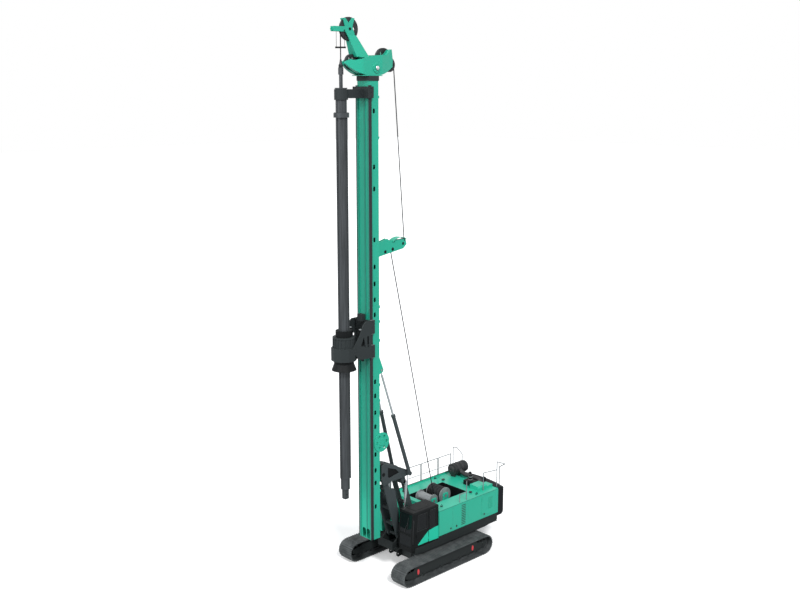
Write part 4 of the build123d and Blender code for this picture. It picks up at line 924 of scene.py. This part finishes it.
# %% Bolts of the clamps
clamp_face = 0.4603
clamp_x = 2.95
bolt_radius, bolt_height = 0.022, 0.016
clamp_rows = [
    ("carriage_bolts", "carriage_body", (9.76, 9.95, 10.14, 10.75, 10.96, 11.17)),
    ("guide_bolts", "guide", (20.05, 20.21, 20.37)),
]
for side_name, side in both_sides:
    for piece_name, body, levels in clamp_rows:
        places = [(clamp_x, side * clamp_face, z) for z in levels]
        add_piece(
            f"{piece_name}_{side_name}", bolt_heads(places, (0, side, 0), bolt_radius, bolt_height),
            dark_enamel, body, smooth=False,
        )

# %% [markdown]
# ## Mast fittings
#
# Small green lugs stand at the mast's rear corner, where lines are tied for transport. They are
# short bars with rounded ends, so a rectangle with quarter circles for corners is carried upwards.

# %% Mast lugs
def rounded_bar(low, high, round_radius, sides=6):
    """An upright bar between two corners, its plan a rectangle whose corners are quarter circles."""
    (x0, y0, z0), (x1, y1, z1) = low, high
    quarter = np.linspace(0, np.pi / 2, sides)
    plan = []
    for x, y, turn in ((x1, y1, 0), (x0, y1, 1), (x0, y0, 2), (x1, y0, 3)):
        centre_x = x - math.copysign(round_radius, x - (x0 + x1) / 2)
        centre_y = y - math.copysign(round_radius, y - (y0 + y1) / 2)
        angle = quarter + turn * np.pi / 2
        plan += list(zip(centre_x + round_radius * np.cos(angle), centre_y + round_radius * np.sin(angle)))
    return prism(plan, z0, z1)


mast_rear = 2.486
lug_half = 0.05
lug_levels = (11.7, 11.09, 10.3, 8.42, 7.75, 3.81, 18.46, 20.03)
lugs = [
    rounded_bar((mast_rear - 0.07, 0.26, z - lug_half), (mast_rear + 0.001, 0.33, z + lug_half), 0.02)
    for z in lug_levels
]
add_piece("mast_lugs", lugs, green_enamel, "mast_body", smooth=False)

# %% [markdown]
# ## The house's grilles, seals and latches
#
# The pressed slots of the grilles are dark inside, because the engine bay behind them is. A thin
# black panel at the bottom of each one is painted shade that gives that depth, and black rubber
# strips fill the seams where the panels meet, as they do on the real house. The latches are round
# cups with a handle's pin in the middle.

# %% Louvres and seals
house_side = 1.5
slot_floor = 0.008
panel_thick = 0.002
seal_thick = 0.005
louvre_count = 12
louvre_low, louvre_pitch = 1.51, 0.08
louvre_rear, louvre_front = -1.579, -1.311
louvre_margin = 0.001
louvre_tall = 0.039
seal_half = 0.0035
seam_places = (-0.75, -1.73)
# Painted shade: a thin black panel lies at the bottom of each louvre's recess.
louvre_shades = []
seals = []
for side in (-1, 1):
    outer_face = side * (house_side - slot_floor)
    inner_y, outer_y = sorted((outer_face, outer_face + side * panel_thick))
    for index in range(louvre_count):
        z = louvre_low + louvre_pitch * index
        louvre_shades.append(slab(
            (louvre_rear, inner_y, z + louvre_margin), (louvre_front, outer_y, z + louvre_tall),
        ))
    inner_y, outer_y = sorted((outer_face, outer_face + side * seal_thick))
    seals.append(slab((-3.739, inner_y, 2.5265), (0.079, outer_y, 2.5395)))
    for x in seam_places:
        seals.append(slab((x - seal_half, inner_y, 1.42), (x + seal_half, outer_y, 2.525)))
add_piece("louvre_painted_shade", louvre_shades, rubber, "upper", smooth=False)
add_piece("house_seals", seals, rubber, "upper", smooth=False)

# %% Latches
latch = [(0.045, -0.002), (0.045, 0.006), (0.036, 0.009), (0.03, 0.003), (0.012, 0.003), (0.009, 0.008)]
panel_latches = [
    turned(latch, (x, side * house_side, z), (0, side, 0))
    for side in (-1, 1) for x, z in ((-0.64, 1.55), (-1.0, 1.56))
]
add_piece("house_latches", panel_latches, plastic, "upper")
for side_name, side in both_sides:
    add_piece(
        f"service_latch_{side_name}", [turned(latch, (-2.81, side * house_side, 1.58), (0, side, 0))],
        plastic, f"door_service_{side_name}",
    )

# %% [markdown]
# ## Track markers and bolts
#
# Two red ovals on each side frame show where a jack or a sling may bear. They are low domes: an
# ellipse that draws in a little as it rises.

# %% Track markers
oval_sides = 28


def oval_boss(centre, side, wide, tall, depth):
    """Ring (t, k) is centre + (wide cos t, tall sin t) drawn in by 0, 4 and 14 percent as it rises."""
    angles = np.linspace(0, -side * 2 * np.pi, oval_sides, endpoint=False)
    rings = []
    for rise, share in ((-0.001, 1.0), (0.7 * depth, 0.96), (depth, 0.86)):
        rings.append(np.stack([
            centre[0] + share * wide * np.cos(angles), np.full(oval_sides, centre[1] + side * rise),
            centre[2] + share * tall * np.sin(angles),
        ], axis=1))
    return solid_of_rings(rings)


marker_level = 0.47
plate_bolt_places = [
    (1.39, 0.7), (0.14, 0.735), (-0.71, 0.735), (-1.64, 0.72), (-1.6, 0.33), (-0.71, 0.33), (0.46, 0.33),
    (1.5, 0.33),
]
for side_name, side in both_sides:
    y = side * frame_face
    markers = [
        oval_boss((x, y, marker_level), side, wide=0.06, tall=0.125, depth=0.018) for x in (1.77, -1.59)
    ]
    add_piece(f"track_markers_{side_name}", markers, marker_enamel, f"track_unit_{side_name}")
    plate_bolts = bolt_heads([(x, y, z) for x, z in plate_bolt_places], (0, side, 0), 0.024, 0.018)
    add_piece(
        f"track_plate_bolts_{side_name}", plate_bolts, black_enamel, f"track_unit_{side_name}",
        smooth=False,
    )

# %% [markdown]
# ## The cab
#
# Black rubber strips hold the panes, a wiper parks across the windscreen, and the driver's screen,
# pedals and levers show through the glass. They are simple at this size, and dark, so that only
# their outlines read. A hatch closes the roof, and a bent rail stands beside the door.

# %% Pane strips
def pane_strip(corners, thickness, width):
    """A closed strip round a pane: each side is a bar between two corners, square to the pane."""
    corners = np.asarray(corners, float)
    normal = np.cross(corners[1] - corners[0], corners[2] - corners[1])
    normal /= np.linalg.norm(normal)
    inward = corners.mean(axis=0) - corners
    inward = inward / np.linalg.norm(inward, axis=1, keepdims=True)
    inner = corners + 1.4 * width * inward
    following = np.roll(corners, -1, axis=0)
    inner_following = np.roll(inner, -1, axis=0)
    bars = []
    for start, end, inner_end, inner_start in zip(corners, following, inner_following, inner):
        ring = np.array([start, end, inner_end, inner_start])
        bars.append(solid_of_rings([ring - normal * thickness / 2, ring + normal * thickness / 2]))
    return bars


cab_side = 1.45
pane_depth = 0.01
panes = [
    ("side_pane_strip", "upper", [(0.225, 1.915), (0.595, 1.915), (0.595, 2.75), (0.225, 2.75)]),
    ("door_pane_strip", "door_cab", [(0.765, 1.97), (1.38, 1.975), (1.315, 2.71), (0.765, 2.71)]),
]
for piece_name, body, outline in panes:
    corners = [(x, cab_side - pane_depth, z) for x, z in reversed(outline)]
    strip = pane_strip(corners, thickness=0.012, width=0.02)
    add_piece(piece_name, strip, rubber, body, smooth=False)

# %% Inside the cab
pedal_wide = 0.09
lever_radius = 0.014
screen_post = slab((1.28, 0.86, 1.31), (1.36, 1.2, 1.86))
screen = slab((1.3, 0.84, 1.86), (1.33, 1.22, 2.14))
pedals = [slab((1.36, y, 1.31), (1.5, y + pedal_wide, 1.35)) for y in (0.9, 1.06)]
console = [screen_post, screen, *pedals]
lever_knob = [(0.02, 0), (0.028, 0.03), (0.028, 0.06), (0.016, 0.085)]
for y in (0.73, 1.325):
    console.append(tube([(0.84, y, 1.93), (0.86, y, 2.06), (0.88, y, 2.1)], lever_radius, sides=10))
    console.append(turned(lever_knob, (0.88, y, 2.09), upward, sides=14))
add_piece("cab_controls", console, plastic, "upper", smooth=False)

# %% Roof hatch
# The plan is drawn in at the top level, which leaves a sloping rim.
hatch_x = (0.45, 1.335)
hatch_y = (0.77, 1.285)
hatch_rings = []
for z, inset in ((2.845, 0.0), (2.858, 0.0), (2.868, 0.02)):
    x0, x1 = hatch_x[0] + inset, hatch_x[1] - inset
    y0, y1 = hatch_y[0] + inset, hatch_y[1] - inset
    hatch_rings.append([(x0, y0, z), (x1, y0, z), (x1, y1, z), (x0, y1, z)])
add_piece("cab_roof_hatch", [solid_of_rings(hatch_rings)], black_enamel, "upper", smooth=False)

# %% Wiper and hand rail
arm_radius = 0.009
blade_radius = 0.008
rail_radius = 0.013
wiper = [
    tube([(1.692, 0.98, 1.93), (1.672, 1.0, 2.02), (1.644, 1.16, 2.4)], arm_radius, sides=8),
    tube([(1.672, 1.14, 2.1), (1.628, 1.18, 2.62)], blade_radius, sides=8),
]
add_piece("cab_wiper", wiper, plastic, "upper")
rail_points = [
    (1.62, 1.44, 1.5), (1.655, 1.475, 1.54), (1.645, 1.478, 2.1), (1.6, 1.475, 2.5), (1.57, 1.44, 2.54),
]
add_piece("cab_hand_rail", [tube(rail_points, rail_radius, sides=10)], plastic, "upper")

# %% [markdown]
# ## Deck
#
# Round filler caps and bent lifting eyes stand on the deck, and the far edge has a black strip of
# grip tape to step on.

# %% Deck pieces
deck = 2.555
filler = [(0.055, -0.001), (0.055, 0.03), (0.075, 0.03), (0.075, 0.055), (0.06, 0.065), (0.02, 0.068)]
filler_caps = [turned(filler, (x, y, deck), upward) for x, y in ((-2.42, 1.0), (-2.62, -0.9))]
add_piece("filler_caps", filler_caps, plastic, "upper")

eye_radius = 0.05
eye_thick = 0.011
eye_level = deck + 0.035
foot_half_x, foot_half_y = 0.06, 0.03
eye_angles = np.linspace(-0.5, math.pi + 0.5, 14)
eye_path = [(eye_radius * math.cos(angle), eye_radius * math.sin(angle)) for angle in eye_angles]
eyes = []
for x, y in ((-0.35, 1.2), (-0.35, -1.2), (-2.5, 1.3), (-2.5, -1.3)):
    eyes.append(tube([(x + along, y, eye_level + rise) for along, rise in eye_path], eye_thick, sides=8))
    eyes.append(slab(
        (x - foot_half_x, y - foot_half_y, deck - 0.001), (x + foot_half_x, y + foot_half_y, deck + 0.012),
    ))
add_piece("deck_eyes", eyes, black_enamel, "upper")
grip_strip = slab((-3.6, -1.495, 2.615), (-0.2, -1.445, 2.622))
add_piece("deck_grip_strip", [grip_strip], rubber, "upper", smooth=False)

# %% [markdown]
# ## Plates in the boom and in the mast's support
#
# A web plate closes the boom between its two chords, and a black plate stands behind the window in
# the mast's support as painted shade. Both are flame cut from flat plate, one on each side, so an
# outline seen from the side is carried across a small thickness.

# %% Boom plates and window plates
def side_plates(outline, inner, outer):
    """A plate on each side, from an outline of x and z that runs clockwise seen with x to the right."""
    return [
        solid_of_rings([[(x, y, z) for x, z in outline] for y in sides])
        for sides in ((inner, outer), (-outer, -inner))
    ]


boom_web = [(1.36, 1.86), (1.4, 2.6), (1.6, 3.6), (1.7, 3.72), (2.05, 3.74), (1.46, 1.8)]
boom_plates = side_plates(boom_web, inner=0.295, outer=0.325)
add_piece("boom_web_plates", boom_plates, boom_enamel, "boom", smooth=False)
# Painted shade: a black plate stands behind the window of the mast's support.
window_shade_outline = [(1.38, 4.33), (1.61, 4.6), (2.11, 4.79), (2.11, 4.31), (1.97, 4.23)]
window_shade_plates = side_plates(window_shade_outline, inner=0.338, outer=0.357)
add_piece("support_window_shade_plates", window_shade_plates, black_enamel, "support", smooth=False)

# %% [markdown]
# ## Air cleaner, duct and exhaust
#
# The air cleaner is a steel can that wears three clamp bands and a moulded end cover. A fat black
# duct, bent from one length, leads its air down into the house. Two clamps hold the exhaust pipe.

# %% Air cleaner and exhaust
cleaner_centre = np.array([-4.08, -0.925, 2.9])
can_length = 0.86
band_start, band_pitch = 0.16, 0.28
band = [(0.277, 0), (0.283, 0.004), (0.283, 0.026), (0.277, 0.03)]
bands = [
    turned(band, cleaner_centre + (band_start + band_pitch * index, 0, 0), forward, sides=40)
    for index in range(3)
]
add_piece("air_cleaner_bands", bands, sheave_steel, "upper")
cover_profile = [(0.2, -0.002), (0.2, 0.02), (0.17, 0.04), (0.06, 0.05), (0.05, 0.03), (0.02, 0.03)]
cover = turned(cover_profile, cleaner_centre + (can_length, 0, 0), forward, sides=32)
add_piece("air_cleaner_cover", [cover], plastic, "upper")

duct_x = -3.55
duct_radius = 0.1
duct_line = [(-0.74, 2.88), (-0.6, 2.8), (-0.42, 2.74), (0.4, 2.74), (0.52, 2.7), (0.58, 2.59)]
duct = tube([(duct_x, y, z) for y, z in duct_line], duct_radius, sides=20)
add_piece("intake_duct", [duct], plastic, "upper")

clamp_profile = [(0.084, 0), (0.092, 0.004), (0.092, 0.03), (0.084, 0.034)]
exhaust_clamps = [turned(clamp_profile, (-3.15, 0.32, z), upward, sides=28) for z in (2.79, 2.92)]
add_piece("exhaust_clamps", exhaust_clamps, drum_steel, "upper")
